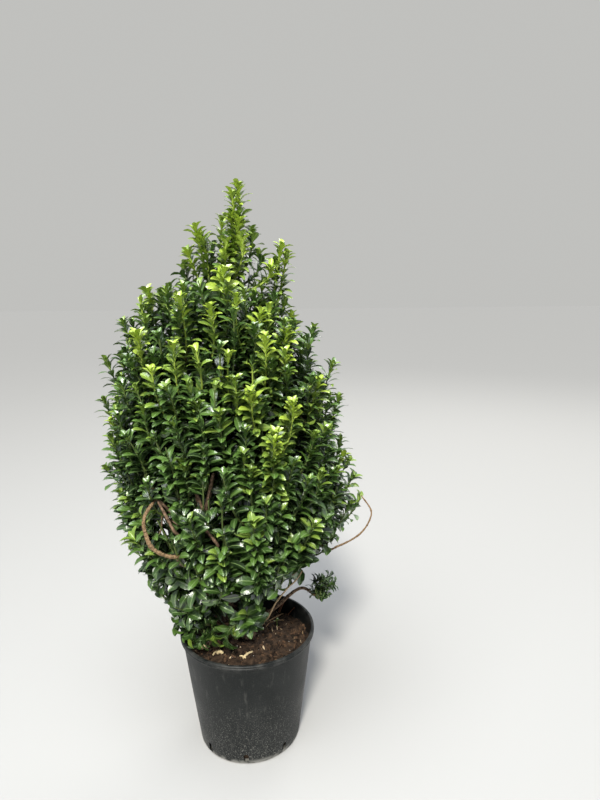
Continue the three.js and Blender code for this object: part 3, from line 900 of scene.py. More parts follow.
# Young leaves have one of the first three forms, grown leaves of the next three, old ones of the last.
LOOKS = 3
LEAF_FORMS = (
    {"width": 0.42, "fold": 0.55, "bend": 1.15, "sweep": 0.0, "twist": 0.0},
    {"width": 0.39, "fold": 0.65, "bend": 0.95, "sweep": 0.2, "twist": 0.3},
    {"width": 0.46, "fold": 0.45, "bend": 1.3, "sweep": -0.2, "twist": -0.2},
    {"width": 0.44, "fold": 0.3, "bend": 1.15, "sweep": 0.1, "twist": 0.1},
    {"width": 0.46, "fold": 0.22, "bend": 0.8, "sweep": -0.3, "twist": -0.4},
    {"width": 0.41, "fold": 0.4, "bend": 1.5, "sweep": 0.25, "twist": 0.35},
    {"width": 0.43, "fold": 0.16, "bend": 1.0, "sweep": 0.1, "twist": 0.2},
    {"width": 0.46, "fold": 0.08, "bend": 0.6, "sweep": -0.25, "twist": -0.5},
    {"width": 0.4, "fold": 0.28, "bend": 1.3, "sweep": 0.3, "twist": 0.5},
)

# The leaves keep inside a crown a little narrower at its foot than the space the masses share out.
LEAFY_CROWN = {
    "foot": 0.199, "waist": 0.43, "top": 0.78, "foot_radius": 0.071, "waist_radius": 0.1885,
    "middle": -0.019, "foot_shift": -0.022, "top_shift": -0.0205, "swell": 1.5, "dome": 2.57,
}
FIRST_SEED = 9
SHOOT_RISE = (0.045, 0.13)
SHOOT_INSET = (0, 0.016)
SHOOT_STEPS = 12
LEAF_THICK = 0.0024
LEAF_OUT = 0.004
TIP_IN = 0.012
FAN_FEET = (0.19, -0.07)
WANDER = 0.004
SHOOT_RADII = (0.002, 0.0013)
TWIG_SIDES = 5
OLD_WOOD = 0.35
FRESH_WOOD = 0.1

LAYERS = (
    {"inset": (0, 0.018), "gap": 0.031, "clear": 0.023, "deep": False},
    {"inset": (0.03, 0.05), "gap": 0.038, "clear": 0.026, "deep": True},
    {"inset": (0.07, 0.11), "gap": 0.042, "clear": 0.034, "deep": True},
)
LOW_GAP = 1.36
RING_CHANCE = 0.4
CLIMB_CHANCE = 0.5
SIDE_RISE = (0.03, 0.09)
SIDE_RADII = (0.0015, 0.001)
FORKS = (2, 9)

LEAF_LENGTHS = (0.0355, 0.0245)
LEAF_HEIGHTS = (0.24, 0.5)
GAP_SHARE = 0.25
TIP_GAP = 0.0022
TIP_STUB = 0.001
TIP_PAIRS = 5
YOUNG_PAIRS = 4
GROWN_PAIRS = 13
TIP_SIZES = (0.9, 0.62)
LEAFY = (0.11, 0.18)
LOW_TILTS = (0.95, 1.35)
TILTS = (0.58, 1.04)
DROOP = 0.025
TILT_CHANCE = 0.14
TURN_CHANCE = 0.2
UNEVEN = (2.4, 1.2)
SHOOT_TURN = 0.45
SIZE_CHANCE = 0.14
SMALLER = 0.8

# The photo shows the tips of these leaders at these pixels, each at a depth of its own.
LEADERS = {
    "top": ((238, 180), -0.005),
    "top_left": ((232, 189), -0.012),
    "second": ((231, 209), -0.012),
    "second_right": ((238, 216), -0.02),
    "left_twin": ((201, 230), -0.002),
    "right_twin": ((286, 250), 0.012),
    "second_back": ((222, 215), 0.015),
    "pale": ((241, 232), -0.024),
    "column": ((226, 237), -0.02),
    "dark": ((251, 226), 0.012),
    "dark_low": ((259, 248), 0.0),
    "left": ((196, 222), -0.005),
    "left_back": ((204, 238), 0.014),
    "left_pale": ((188, 246), 0.0),
    "left_low": ((184, 262), 0.01),
    "right": ((281, 241), 0.005),
    "right_back": ((276, 258), 0.02),
    "right_low": ((270, 262), -0.014),
    "back_left": ((212, 240), 0.04),
    "back_right": ((240, 232), 0.045),
    "middle_top": ((223, 266), -0.055),
}
DARK_LEADERS = ("dark", "dark_low", "left_low", "right_back", "left_back", "back_left", "back_right")
LEADER = {"leaf": 0.0225, "tip_size": 0.86, "tilts": (0.72, 1.08)}
TIP_ABOVE = 0.012
LEADER_FOOT = 0.76
LEADER_RISE = 0.6
LEADER_LEAFY = 0.2
LIGHT_HEIGHTS = (0.34, 0.7)
LIME_HEIGHTS = (0.45, 0.68)
LIME_CHANCES = (0.1, 0.3)
FRESH_CHANCES = (0.09, 0.64)
# How many pairs of leaves of each colour a shoot has, from its tip down. The last have all the rest.
REST = 99
BRIGHT_TINTS = (("lime", 7), ("fresh", 13), ("green", 5), ("dark", REST))
PLAIN_TINTS = (("fresh", 3), ("green", 8), ("dark", REST))
LIME_TINTS = (("lime", 6), ("fresh", 10), ("green", 8), ("dark", REST))
HALF_LIME_TINTS = (("lime", 3), ("fresh", 7), ("green", 6), ("dark", REST))
FRESH_TINTS = (("fresh", 4), ("green", 5), ("dark", 12), ("deep", REST))
SHADY_TINTS = (("green", 1), ("dark", 6), ("deep", REST))
USUAL_GREENS = (1, 6)
USUAL_TINTS = (("dark", 9), ("deep", REST))
SHADE_SHIFTS = (-1, 0, 0, 0, 0, 1)
PHOTO_WIDTH = 600
# Shoots with lime green tips stand on the front of the crown, and plainer ones at its edges.
BRIGHT_TIPS = {
    "left_corner": (148, 294),
    "left_corner_low": (138, 339),
    "left_column": (180, 300),
    "middle_column": (211, 347),
    "middle_low": (228, 357),
    "right_top": (263, 283),
    "middle_right": (236, 299),
    "right_shoulder": (265, 340),
    "right_fresh": (286, 333),
    "right_column": (251, 394),
    "right_bright": (274, 443),
    "far_right": (318, 383),
    "right_edge": (342, 457),
    "right_waist": (293, 405),
}
BRIGHT_INSET = 0.01
SIGHT_STEP = 0.001
BIG_TIPS = ("left_corner", "left_corner_low", "middle_top")
BIG = {"leaf": 0.0265, "tip_size": 0.85, "tilts": (0.7, 1.1)}
PLAIN_TIPS = {
    "left_fresh": (167, 389),
    "left_wall": (107, 362),
    "left_wall_high": (124, 324),
    "left_wall_middle": (105, 402),
    "left_wall_low": (112, 440),
    "left_belly": (108, 470),
    "left_peak": (184, 289),
    "left_ledge": (186, 262),
    "right_peak": (284, 325),
    "right_wall_high": (313, 331),
    "right_wall": (332, 366),
    "right_wall_low": (338, 400),
    "right_belly": (340, 440),
    "right_hip": (352, 478),
    "right_hip_low": (349, 505),
    "right_curl": (359, 500),
    "right_hip_high": (347, 462),
}
# Low shoots also hang over the pot's rim at the left. Each has its way round the pot, how far out
# its tip is and how high.
RIM_SHOOTS = (
    (170, 0.108, 0.226),
    (180, 0.106, 0.212),
    (193, 0.108, 0.222),
    (204, 0.104, 0.212),
    (214, 0.1, 0.218),
    (224, 0.094, 0.214),
    (236, 0.084, 0.222),
    (250, 0.078, 0.224),
)
RIM_TINTS = (("green", 2), ("dark", 5), ("deep", REST))
RIM_RISE = 0.012
RIM_LEAF = 0.029
RIM_AIR = 0.002
EDGE_DEPTH = 0.02
EDGE_OUT = 0.03


def leaf_half(share, width):
    """Half a leaf's width along its length: widest past its middle, round at its tip."""
    full = math.sin(math.pi * share**LEAF_FULLEST)
    return max(PETIOLE_HALF, width / 2 * max(0, full) ** LEAF_ROUNDNESS)


def leaf_mesh(width, fold, bend, sweep, twist):
    """A leaf one unit long from its root along +X, its upper face up, with a pale midrib. It rises
    from its root and bends over evenly to its tip, its halves folded up from the midrib. It also
    sweeps a little to one side and twists."""
    lift = bend / 2
    corners = []
    middle = Vector()
    for i, share in enumerate(LEAF_STATIONS):
        if i:
            step = share - LEAF_STATIONS[i - 1]
            slope = lift - bend * (share - step / 2)
            middle = middle + Vector((math.cos(slope), 0, math.sin(slope))) * step
        slope = lift - bend * share
        up = Vector((-math.sin(slope), 0, math.cos(slope)))
        half = leaf_half(share, width)
        for y in (-half, -RIB_HALF, RIB_HALF, half):
            across = Vector((0, y, 0)) + up * (abs(y) - RIB_HALF) * fold
            across.rotate(Matrix.Rotation(twist * share, 3, "X"))
            corners.append(middle + Vector((0, sweep / 2 * share**2, 0)) + across)
    faces = []
    row = BLADE_SPANS + 1
    for i in range(len(LEAF_STATIONS) - 1):
        for first in range(i * row, i * row + BLADE_SPANS):
            faces.append((first, first + row, first + row + 1, first + 1))
    mesh = new_mesh("leaf", corners, faces)
    mesh.shade_smooth()
    set_values(mesh, "rib", "BOOLEAN", [i % BLADE_SPANS == 1 for i in range(len(faces))], "FACE")
    return mesh


def leaf_tree():
    """Lays a leaf at each of the carrier's points, as its attributes say, and paints blade and rib."""
    finishes = [*LEAF_COLOURS, *RIB_COLOURS]
    sockets = {"Leaves": "Collection", **{name: "Material" for name in finishes}}
    tree, given, out = new_tree("leaves", sockets)
    along, face = (attribute(tree, way, "FLOAT_VECTOR") for way in ("along", "face"))
    turn = node(tree, "FunctionNodeAxesToRotation", {
        "Primary Axis": along, "Secondary Axis": face,
    }, primary_axis="X", secondary_axis="Z").outputs[0]
    form = attribute(tree, "form", "INT")
    leaves = laid(tree, given["Carrier"], given["Leaves"], form, turn, attribute(tree, "size", "FLOAT"))
    real = node(tree, "GeometryNodeRealizeInstances", {"Geometry": leaves}).outputs[0]
    blades = painted(tree, real, [given[name] for name in LEAF_COLOURS])
    rib = attribute(tree, "rib", "BOOLEAN")
    ribbed = with_finish(tree, blades, given["old_rib"], rib)
    first_young = list(LEAF_COLOURS).index("fresh")
    young = compared(tree, attribute(tree, "colour", "INT"), first_young, "GREATER_EQUAL")
    young_rib = node(tree, "FunctionNodeBooleanMath", {0: rib, 1: young}, operation="AND").outputs[0]
    tree.links.new(with_finish(tree, ribbed, given["young_rib"], young_rib), out["Made"])
    return tree


def carry_leaves(name, leaves):
    """A carrier mesh with a point for each leaf's root, and the ways it lies as attributes."""
    mesh = new_mesh(name, [leaf["root"] for leaf in leaves])
    for way in ("along", "face"):
        set_values(mesh, way, "FLOAT_VECTOR", [value for leaf in leaves for value in leaf[way]])
    for word, kind in (("size", "FLOAT"), ("form", "INT"), ("colour", "INT")):
        set_values(mesh, word, kind, [leaf[word] for leaf in leaves])
    return linked(name, mesh)


def directions(count):
    """Even directions all round: a spiral from pole to pole."""
    golden = math.pi * (3 - math.sqrt(5))
    for i in range(count):
        z = 1 - (2 * i + 1) / count
        flat = math.sqrt(1 - z * z)
        yield Vector((flat * math.cos(golden * i), flat * math.sin(golden * i), z))


def up_the_crown(height):
    """How far up between the low drooping shoots and the high upright ones a height is."""
    return held((height - LEAF_HEIGHTS[0]) / (LEAF_HEIGHTS[1] - LEAF_HEIGHTS[0]))


def shoot_line(foot, tip, rise, dice):
    """A shoot goes out from where it forks and turns up to stand at its tip, a little unevenly. All
    stand like the ribs of a fan, upright in the middle and at the top, and level at the skirt."""
    fan_foot = Vector((0, 0, lerp(*FAN_FEET, up_the_crown(tip.z))))
    bend = tip - (tip - fan_foot).normalized() * rise
    bend.z = max(bend.z, CROWN["foot"] + LEAF_THICK)
    line = bent(foot, bend, tip, SHOOT_STEPS)
    drift = Vector((dice.uniform(-1, 1), dice.uniform(-1, 1), 0)) * WANDER
    return [point + drift * math.sin(i / SHOOT_STEPS * math.tau) for i, point in enumerate(line)]


def place_on(line, distance):
    """The point that lies this far below a line's tip, and the way that the line goes there."""
    for i in range(len(line) - 1, 0, -1):
        step = line[i] - line[i - 1]
        if distance <= step.length:
            return line[i] - step.normalized() * distance, step.normalized()
        distance -= step.length
    return None, None


def tints_of(height, deep, dice):
    """A shoot's tints. High shoots are the brightest, and those deep in the crown are all dark."""
    light = held((height - LIGHT_HEIGHTS[0]) / (LIGHT_HEIGHTS[1] - LIGHT_HEIGHTS[0]))
    bright = held((height - LIME_HEIGHTS[0]) / (LIME_HEIGHTS[1] - LIME_HEIGHTS[0]))
    chance = dice.random()
    if deep:
        return SHADY_TINTS
    if chance < LIME_CHANCES[0] * bright:
        return LIME_TINTS
    if chance < LIME_CHANCES[1] * bright:
        return HALF_LIME_TINTS
    if chance < lerp(*FRESH_CHANCES, light):
        return FRESH_TINTS
    return (("green", round(lerp(*USUAL_GREENS, light))), *USUAL_TINTS)


def tint_at(tints, pair, dice):
    """The number of a pair's colour, which is now and then a shade darker or brighter."""
    names = list(LEAF_COLOURS)
    for name, pairs in tints:
        if pair < pairs:
            break
        pair -= pairs
    shade = names.index(name) + dice.choice(SHADE_SHIFTS)
    brightest = names.index("lime") if name == "lime" else names.index("fresh")
    return int(held(shade, 0, brightest))


def leaves_on(shoot, dice):
    """A shoot's leaves: crossed pairs from its tip down, small, folded and upright first. One of
    each two crossed pairs lies along the crown's face, the other one stands out of it."""
    leaves = []
    distance = TIP_STUB
    outward = shoot["line"][-1] - Vector((CROWN["middle"], 0, 0))
    sideways = Vector((-outward.y, outward.x, 0)).normalized()
    turn = dice.uniform(-SHOOT_TURN, SHOOT_TURN)
    pair = 0
    while distance < shoot["leafy"]:
        root, axis = place_on(shoot["line"], distance)
        if root is None:
            break
        grown = held(pair / TIP_PAIRS)
        across = (sideways - axis * sideways.dot(axis)).normalized()
        for half in range(2):
            size = shoot["leaf"] * lerp(shoot["tip_size"], 1, grown)
            size *= 1 + dice.uniform(-SIZE_CHANCE, SIZE_CHANCE)
            tilt = lerp(*shoot["tilts"], grown) + DROOP * max(0, pair - TIP_PAIRS)
            tilt += dice.uniform(-TILT_CHANCE, TILT_CHANCE) * shoot["uneven"]
            swing = turn + pair * math.pi / 2 + half * math.pi
            swing += dice.uniform(-TURN_CHANCE, TURN_CHANCE) * shoot["uneven"]
            out = across.copy()
            out.rotate(Matrix.Rotation(swing, 3, axis))
            along = axis * math.cos(tilt) + out * math.sin(tilt)
            face = axis * math.sin(tilt) - out * math.cos(tilt)
            age = 0 if pair < YOUNG_PAIRS else 1 if pair < GROWN_PAIRS else 2
            leaf = {"root": root, "along": along, "face": face, "form": age * LOOKS + dice.randrange(LOOKS)}
            leaf["colour"] = tint_at(shoot["tints"], pair, dice)
            for length in (size, size * SMALLER):
                if shoot["fits"](root + along * length):
                    leaves.append({**leaf, "size": length})
                    break
        distance += lerp(TIP_GAP, shoot["leaf"] * GAP_SHARE, grown)
        pair += 1
    return leaves


def new_shoot(line, radii, tints, dice, beyond=LEAF_OUT):
    """What a shoot carries: its leaves' size, how far down they stand, their colours and its twig."""
    shoot = {"line": line, "tints": tints, "leafy": dice.uniform(*LEAFY)}
    rise = up_the_crown(line[-1].z)
    shoot["tip_size"] = lerp(*TIP_SIZES, rise)
    shoot["uneven"] = lerp(*UNEVEN, rise)
    shoot["leaf"] = lerp(*LEAF_LENGTHS, rise)
    shoot["tilts"] = [lerp(low, high, rise) for low, high in zip(LOW_TILTS, TILTS)]
    shoot["fits"] = lambda point: in_crown(point, LEAFY_CROWN, beyond)
    twig = tapered(line, *radii)
    whole = length_of(line)
    for i in range(len(line)):
        grown = i / (len(line) - 1)
        fresh = tints[0][0] == "lime" and whole * (1 - grown) < FRESH_WOOD
        twig["colours"][i] = OLD if grown < OLD_WOOD else FRESH if fresh else GREEN
    shoot["twig"] = twig
    return shoot


def main_shoots(cell, dice):
    """A mass's main shoots grow in every direction in which its cell is open to the light."""
    shoots = []
    for direction in directions(cell["shoots"]):
        far = reach(cell["seed"], direction, lambda point: in_crown(point) and in_cell(cell, point))
        beyond = cell["seed"] + direction * (far + LEAF_THICK)
        if in_crown(beyond) or beyond.z < CROWN["foot"]:
            continue
        far = reach(cell["seed"], direction, lambda point: in_crown(point, LEAFY_CROWN, -TIP_IN))
        tip = cell["seed"] + direction * (far - dice.uniform(*SHOOT_INSET))
        line = shoot_line(cell["seed"], tip, lerp(*SHOOT_RISE, up_the_crown(tip.z)), dice)
        shoots.append(new_shoot(line, SHOOT_RADII, tints_of(tip.z, False, dice), dice))
    return shoots


def sight(pixel):
    """The way in which the camera sees a pixel."""
    ray = Vector((pixel[0] - PHOTO_WIDTH / 2, IMAGE_HEIGHT / 2 - pixel[1], -FOCAL_PIXELS)).normalized()
    ray.rotate(camera_turn)
    return ray


def in_depth(pixel, depth):
    """The point that the photo shows at a pixel, this far behind the pot's middle. Points in front of
    the middle have a negative depth."""
    ray = sight(pixel)
    return CAMERA_PLACE + ray * (depth - CAMERA_PLACE.y) / ray.y


def seen_at(pixel):
    """The point just inside the crown that the photo shows at a pixel, or else beside its middle."""
    ray = sight(pixel)
    middle = (EDGE_DEPTH - CAMERA_PLACE.y) / ray.y
    near = middle - CROWN["waist_radius"]
    steps = round(CROWN["waist_radius"] / SIGHT_STEP)
    for i in range(steps):
        point = CAMERA_PLACE + ray * (near + i * SIGHT_STEP)
        if in_crown(point, LEAFY_CROWN, -BRIGHT_INSET):
            return point
    return CAMERA_PLACE + ray * middle


def places_in(cell, layer, dice):
    """Even places under the crown's face over a cell, in rings from its foot up, closer higher up."""
    height = CROWN["foot"] + layer["gap"] / 2
    while height < CROWN["top"]:
        gap = layer["gap"] * lerp(LOW_GAP, 1, up_the_crown(height))
        middle, radius = crown_at(height, LEAFY_CROWN)
        radius -= TIP_IN
        count = max(1, round(math.tau * radius / gap))
        for i in range(count):
            angle = (i + dice.uniform(-RING_CHANCE, RING_CHANCE)) / count * math.tau + height
            out = radius - dice.uniform(*layer["inset"])
            climb = dice.uniform(-CLIMB_CHANCE, CLIMB_CHANCE) * gap
            place = crown_point(middle, out, angle, height + climb)
            if out > 0 and in_cell(cell, place) and in_crown(place, LEAFY_CROWN):
                yield place
        height += gap


def nearest_fork(mains, place):
    """Where a finer shoot leaves one of the main shoots, as near to a place as may be."""
    forks = [point for shoot in mains for point in shoot["line"][FORKS[0]:FORKS[1]]]
    return min(forks, key=lambda point: (point - place).length)


def fine_shoot(tip, mains, tints, dice, beyond=LEAF_OUT):
    """A finer shoot forks off the main one that is nearest below its tip."""
    rise = lerp(*SIDE_RISE, up_the_crown(tip.z))
    fork = nearest_fork(mains, tip - Vector((0, 0, rise)))
    return new_shoot(shoot_line(fork, tip, rise, dice), SIDE_RADII, tints, dice, beyond)


def shoots_of(cell, dice):
    """A mass's main shoots, then finer ones to wherever light still comes in."""
    shoots = main_shoots(cell, dice)
    mains = list(shoots)
    for tips, tints in ((BRIGHT_TIPS, BRIGHT_TINTS), (PLAIN_TIPS, PLAIN_TINTS)):
        for name, tip in zip(tips, map(seen_at, tips.values())):
            if in_cell(cell, tip):
                shoots.append(fine_shoot(tip, mains, tints, dice, EDGE_OUT))
                shoots[-1].update(BIG if name in BIG_TIPS else {})
    shoots += rim_shoots(cell, mains, dice)
    for layer in LAYERS:
        for place in places_in(cell, layer, dice):
            clear = layer["clear"] * lerp(LOW_GAP, 1, up_the_crown(place.z))
            if all((place - shoot["line"][-1]).length > clear for shoot in shoots):
                shoots.append(fine_shoot(place, mains, tints_of(place.z, layer["deep"], dice), dice))
    return shoots


def over_rim(point):
    """Whether a point is clear of the pot and of the compost in it."""
    out = math.hypot(point.x, point.y)
    return point.z > POT_HEIGHT + RIM_AIR or out > RIM_RADIUS + RIM_AIR or (
        out < wall_at(SOIL_LEVEL) - POT_WALL - RIM_AIR and point.z > SOIL_SEAT + RIM_AIR)


def rim_shoots(cell, mains, dice):
    """Low shoots that go out over the pot's rim and hang down a little."""
    shoots = []
    for way, out, height in RIM_SHOOTS:
        way = math.radians(way)
        tip = Vector((out * math.cos(way), out * math.sin(way), height))
        if in_cell(cell, tip):
            above = tip - Vector((tip.x, tip.y, 0)) * RIM_RISE / out
            above.z += RIM_RISE
            line = bent(nearest_fork(mains, above), above, tip, SHOOT_STEPS)
            shoots.append(new_shoot(line, SIDE_RADII, RIM_TINTS, dice))
            shoots[-1].update({"leaf": RIM_LEAF, "fits": over_rim})
    return shoots


def leaders_of(cell, dice):
    """The leaders over a mass, that stand out above the crown."""
    shoots = []
    for leader, seen in LEADERS.items():
        tip = in_depth(*seen) - Vector((0, 0, TIP_ABOVE))
        if in_cell(cell, Vector((tip.x, tip.y, LEADER_FOOT))):
            line = shoot_line(cell["seed"], tip, (tip.z - cell["seed"].z) * LEADER_RISE, dice)
            tints = PLAIN_TINTS if leader in DARK_LEADERS else BRIGHT_TINTS
            shoots.append(new_shoot(line, SHOOT_RADII, tints, dice))
            shoots[-1].update(BIG if leader in BIG_TIPS else LEADER)
            shoots[-1].update({"leafy": LEADER_LEAFY, "fits": lambda point: True})
    return shoots


# Three old shoots are bare. One, as thick as a bough's tip and corky, loops out of the leaves at the
# left front. Another is thin, springs out at the right and curls back in over the leaves.
BARE_SHOOTS = {
    "belly_5": {
        "foot": 0.0034,
        "tip": 0.0022,
        "points": (
            (-0.05, -0.09, 0.38),
            (-0.084, -0.136, 0.389),
            (-0.11, -0.151, 0.407),
            (-0.121, -0.149, 0.429),
            (-0.123, -0.142, 0.452),
            (-0.112, -0.1, 0.468),
        ),
    },
    "belly_1": {
        "foot": 0.0018,
        "tip": 0.0012,
        "points": (
            (0.128, 0, 0.338),
            (0.152, -0.008, 0.343),
            (0.188, -0.016, 0.369),
            (0.205, -0.008, 0.4),
            (0.19, 0.006, 0.424),
        ),
    },
}
# The third is pale and dry, and climbs from the compost over the lowest leaves at the right. The
# photo shows it at these pixels, each at a depth of its own.
PALE_SHOOT = (
    ((267, 619), -0.03),
    ((275, 604), -0.05),
    ((286, 590), -0.062),
    ((297, 579), -0.06),
    ((302, 571), -0.05),
)
PALE_FOOT = Vector((0.012, -0.004, 0.196))
PALE_RADII = (0.0015, 0.0009)
PALE_DARK = (0.3, 0.2, 0.11, 1)
PALE_LIGHT = (0.5, 0.37, 0.22, 1)
BARE_SEEN = {"belly_5": slice(44, 104, 4), "belly_1": slice(40, 100, 4), "pale": slice(24, 98, 4)}
BARE_STEPS = 20
CORK_KNOBS = {"height": 0.42, "size": 340}
BARE_SIDES = 9
BARE_RELIEF = 0.0004
CORK_DARK = (0.075, 0.044, 0.022, 1)
CORK_LIGHT = (0.32, 0.21, 0.11, 1)
CORK_SKIN = {**BARK_SKIN, "clouds": 520}
# Through a few gaps old brown stems show. Each has the pixels in the photo that it runs between.
OLD_STEMS = (
    ((206, 507), (212, 478)),
    ((203, 510), (197, 494)),
    ((218, 545), (205, 529)),
    ((174, 531), (160, 505)),
)
OLD_STEM_DEPTH = 0.026
OLD_STEM_RADII = (0.0025, 0.0018)
OLD_STEM_BEND = 0.3
OLD_STEM_BACK = 0.6
OLD_STEM_STEPS = 12
OLD_STEM_SEEN = slice(OLD_STEM_STEPS, OLD_STEM_STEPS * 2, 2)
SIGHT_AIR = 4.5
SIGHT_DEPTH = 0.004
# Dark pockets of air between the shoots. Each has its pixel in the photo and how many pixels wide.
POCKETS = (
    ((199, 381), 12),
    ((218, 480), 11),
    ((224, 525), 12),
    ((219, 549), 10),
    ((175, 499), 10),
    ((231, 444), 9),
    ((239, 321), 9),
    ((247, 358), 10),
    ((179, 584), 9),
    ((188, 595), 10),
    ((206, 502), 10),
    ((216, 511), 9),
)
POCKET_DEPTH = 0.03
# Inside the loop the ground behind shows through the leaves. Each gap has its pixel and width too.
GAPS = (
    ((164, 524), 11),
    ((165, 535), 10),
    ((158, 524), 9),
    ((167, 548), 8),
)
GAP_DEPTH = 1.0
# More pockets of air all round the crown, each a small ball just under its face.
AIR_POCKETS = 130
AIR_SEED = 12
AIR_SIZES = (0.008, 0.0125)
AIR_INSETS = (0.01, 0.026)
AIR_HEIGHTS = (0.215, 0.7)


def smooth_line(points, steps):
    """A smooth line through points, each span of it in this many steps. A point's handles are a sixth
    of the way between its neighbours."""
    ends = [points[0] * 2 - points[1], *points, points[-1] * 2 - points[-2]]
    line = []
    for i in range(1, len(ends) - 2):
        before, start, end, after = ends[i - 1:i + 3]
        first = start + (end - before) / 6
        second = end - (after - start) / 6
        line += bezier(start, first, second, end, steps)[:-1]
    return [*line, points[-1]]


def bare_shoot(cell):
    """A bare shoot from a mass's seed through its points, with corky swellings along it."""
    rule = BARE_SHOOTS[cell["name"]]
    points = [cell["seed"], *(Vector(point) for point in rule["points"])]
    limb = tapered(smooth_line(points, BARE_STEPS), rule["foot"], rule["tip"])
    for i, point in enumerate(limb["line"]):
        limb["radii"][i] *= 1 + CORK_KNOBS["height"] * noise.noise(point * CORK_KNOBS["size"])
    return limb


def old_stem(pixels):
    """A stem some way under the crown's face, that the photo shows between two pixels. It comes up
    from the nearest mass's stem and goes back in towards that mass's seed."""
    ends = [seen_at(pixel) for pixel in pixels]
    foot, tip = (end + (end - CAMERA_PLACE).normalized() * OLD_STEM_DEPTH for end in ends)
    cell = min(cells, key=lambda cell: (cell["seed"] - foot).length)
    line = bent(cell["stem_foot"], foot.lerp(cell["stem_foot"], OLD_STEM_BEND), foot, OLD_STEM_STEPS)
    line += bent(foot, foot.lerp(tip, 0.5), tip, OLD_STEM_STEPS)[1:]
    end = cell["seed"].lerp(tip, OLD_STEM_BACK)
    line += bent(tip, tip + (tip - foot) / 2, end, OLD_STEM_STEPS)[1:]
    return tapered(line, *OLD_STEM_RADII)


def in_picture(point):
    """The pixel at which the camera sees a point, and how far away it is."""
    seen = camera_turn.transposed() @ (point - CAMERA_PLACE)
    pixel = Vector((seen.x, -seen.y)) * FOCAL_PIXELS / -seen.z
    return pixel + Vector((PHOTO_WIDTH, IMAGE_HEIGHT)) / 2, -seen.z


bare_shoots = {cell["name"]: bare_shoot(cell) for cell in cells if cell["name"] in BARE_SHOOTS}
pale_line = smooth_line([PALE_FOOT, *(in_depth(*seen) for seen in PALE_SHOOT)], BARE_STEPS)
bare_shoots["pale"] = tapered(pale_line, *PALE_RADII)
old_stems = [old_stem(pixels) for pixels in OLD_STEMS]
# No leaf may stand before these: points of the bare shoots and old stems, and the backs of the
# openings. Each has its pixel, how far away it is, and how many pixels round it stay free.
kept_open = [point for name, limb in bare_shoots.items() for point in limb["line"][BARE_SEEN[name]]]
kept_open += [point for limb in old_stems for point in limb["line"][OLD_STEM_SEEN]]
in_sight = [(*in_picture(point), SIGHT_AIR) for point in kept_open]
for openings, deep in ((POCKETS, POCKET_DEPTH), (GAPS, GAP_DEPTH)):
    for pixel, wide in openings:
        in_sight.append((Vector(pixel), in_picture(seen_at(pixel))[1] + deep, wide / 2))


def air_pockets():
    """Balls of air, as middle and radius, strewn under the whole face of the crown."""
    dice = random.Random(AIR_SEED)
    pockets = []
    for _ in range(AIR_POCKETS):
        height = dice.uniform(*AIR_HEIGHTS)
        middle, radius = crown_at(height, LEAFY_CROWN)
        angle = dice.uniform(0, math.tau)
        out = radius - dice.uniform(*AIR_INSETS)
        pockets.append((crown_point(middle, out, angle, height), dice.uniform(*AIR_SIZES)))
    return pockets


pockets_of_air = air_pockets()


def keeps_clear(leaf):
    """Whether a leaf's root, middle and tip leave the pockets of air free, and the bare shoots and old
    stems in sight."""
    for share in (0, 0.5, 1):
        place = leaf["root"] + leaf["along"] * leaf["size"] * share
        if any((place - middle).length < radius for middle, radius in pockets_of_air):
            return False
        pixel, depth = in_picture(place)
        for other, limit, air in in_sight:
            if depth < limit + SIGHT_DEPTH and (pixel - other).length < air:
                return False
    return True


def leaf_finish(name, colour):
    """Green under a clear waxy skin, a little uneven, which gives the leaves their white lights."""
    material, shader = plain_finish(name, colour, LEAF_ROUGHNESS)
    shader.inputs["Coat Weight"].default_value = LEAF_WAX
    shader.inputs["Coat Roughness"].default_value = LEAF_WAX_ROUGHNESS
    tree = material.node_tree
    places = node(tree, "ShaderNodeTexCoord").outputs["Object"]
    uneven = relief(tree, places, LEAF_RIPPLES, FINE_DETAIL, LEAF_RIPPLE_DEPTH)
    tree.links.new(uneven, shader.inputs["Normal"])
    tree.links.new(uneven, shader.inputs["Coat Normal"])
    return material


leaf_finishes = {name: leaf_finish(name, colour) for name, colour in {**LEAF_COLOURS, **RIB_COLOURS}.items()}
twig_finishes = [plain_finish(name, colour, TWIG_ROUGHNESS)[0] for name, colour in TWIG_COLOURS.items()]
leaves_of = leaf_tree()
leaf_shelf = shape_shelf("leaf_forms", [leaf_mesh(**form) for form in LEAF_FORMS])


def blades_at(name, leaves):
    """The leaves' blades as one plain mesh."""
    return made_by(leaves_of, carry_leaves(name, leaves), name, {"Leaves": leaf_shelf, **leaf_finishes})


def foliage(name, stem, shoots, dice):
    """A mass: its twigs joined as one piece and its leaves as another."""
    leaves = [leaf for shoot in shoots for leaf in leaves_on(shoot, dice) if keeps_clear(leaf)]
    blades = blades_at(f"leaves_{name}", leaves)
    lines = [stem, *[shoot["twig"] for shoot in shoots]]
    twigs = grown_limbs(f"twigs_{name}", lines, TWIG_SIDES, twig_finishes)
    for piece, slot in ((blades, "leaves"), (twigs, "bark")):
        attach(piece, "root")
        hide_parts(f"foliage_{name}")


for number, cell in enumerate(cells):
    dice = random.Random(FIRST_SEED + number)
    stem = tapered([cell["stem_foot"], cell["seed"]], BOUGH["tip"], BOUGH["tip"])
    foliage(cell["name"], stem, leaders_of(cell, dice) + shoots_of(cell, dice), dice)
cork = grainy_finish("cork", CORK_DARK, CORK_LIGHT, CORK_SKIN)
dry = grainy_finish("dry", PALE_DARK, PALE_LIGHT, CORK_SKIN)
bare_finishes = {"old_stems": bark, "pale": dry}
bare_limbs = {name: [limb] for name, limb in bare_shoots.items()}
bare_limbs["old_stems"] = old_stems
for name, limbs in bare_limbs.items():
    made = grown_limbs(f"bare_{name}", limbs, BARE_SIDES, [bare_finishes.get(name, cork)] * 3)
    roughen_bark(made.data, BARE_RELIEF)
    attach(made, "root")
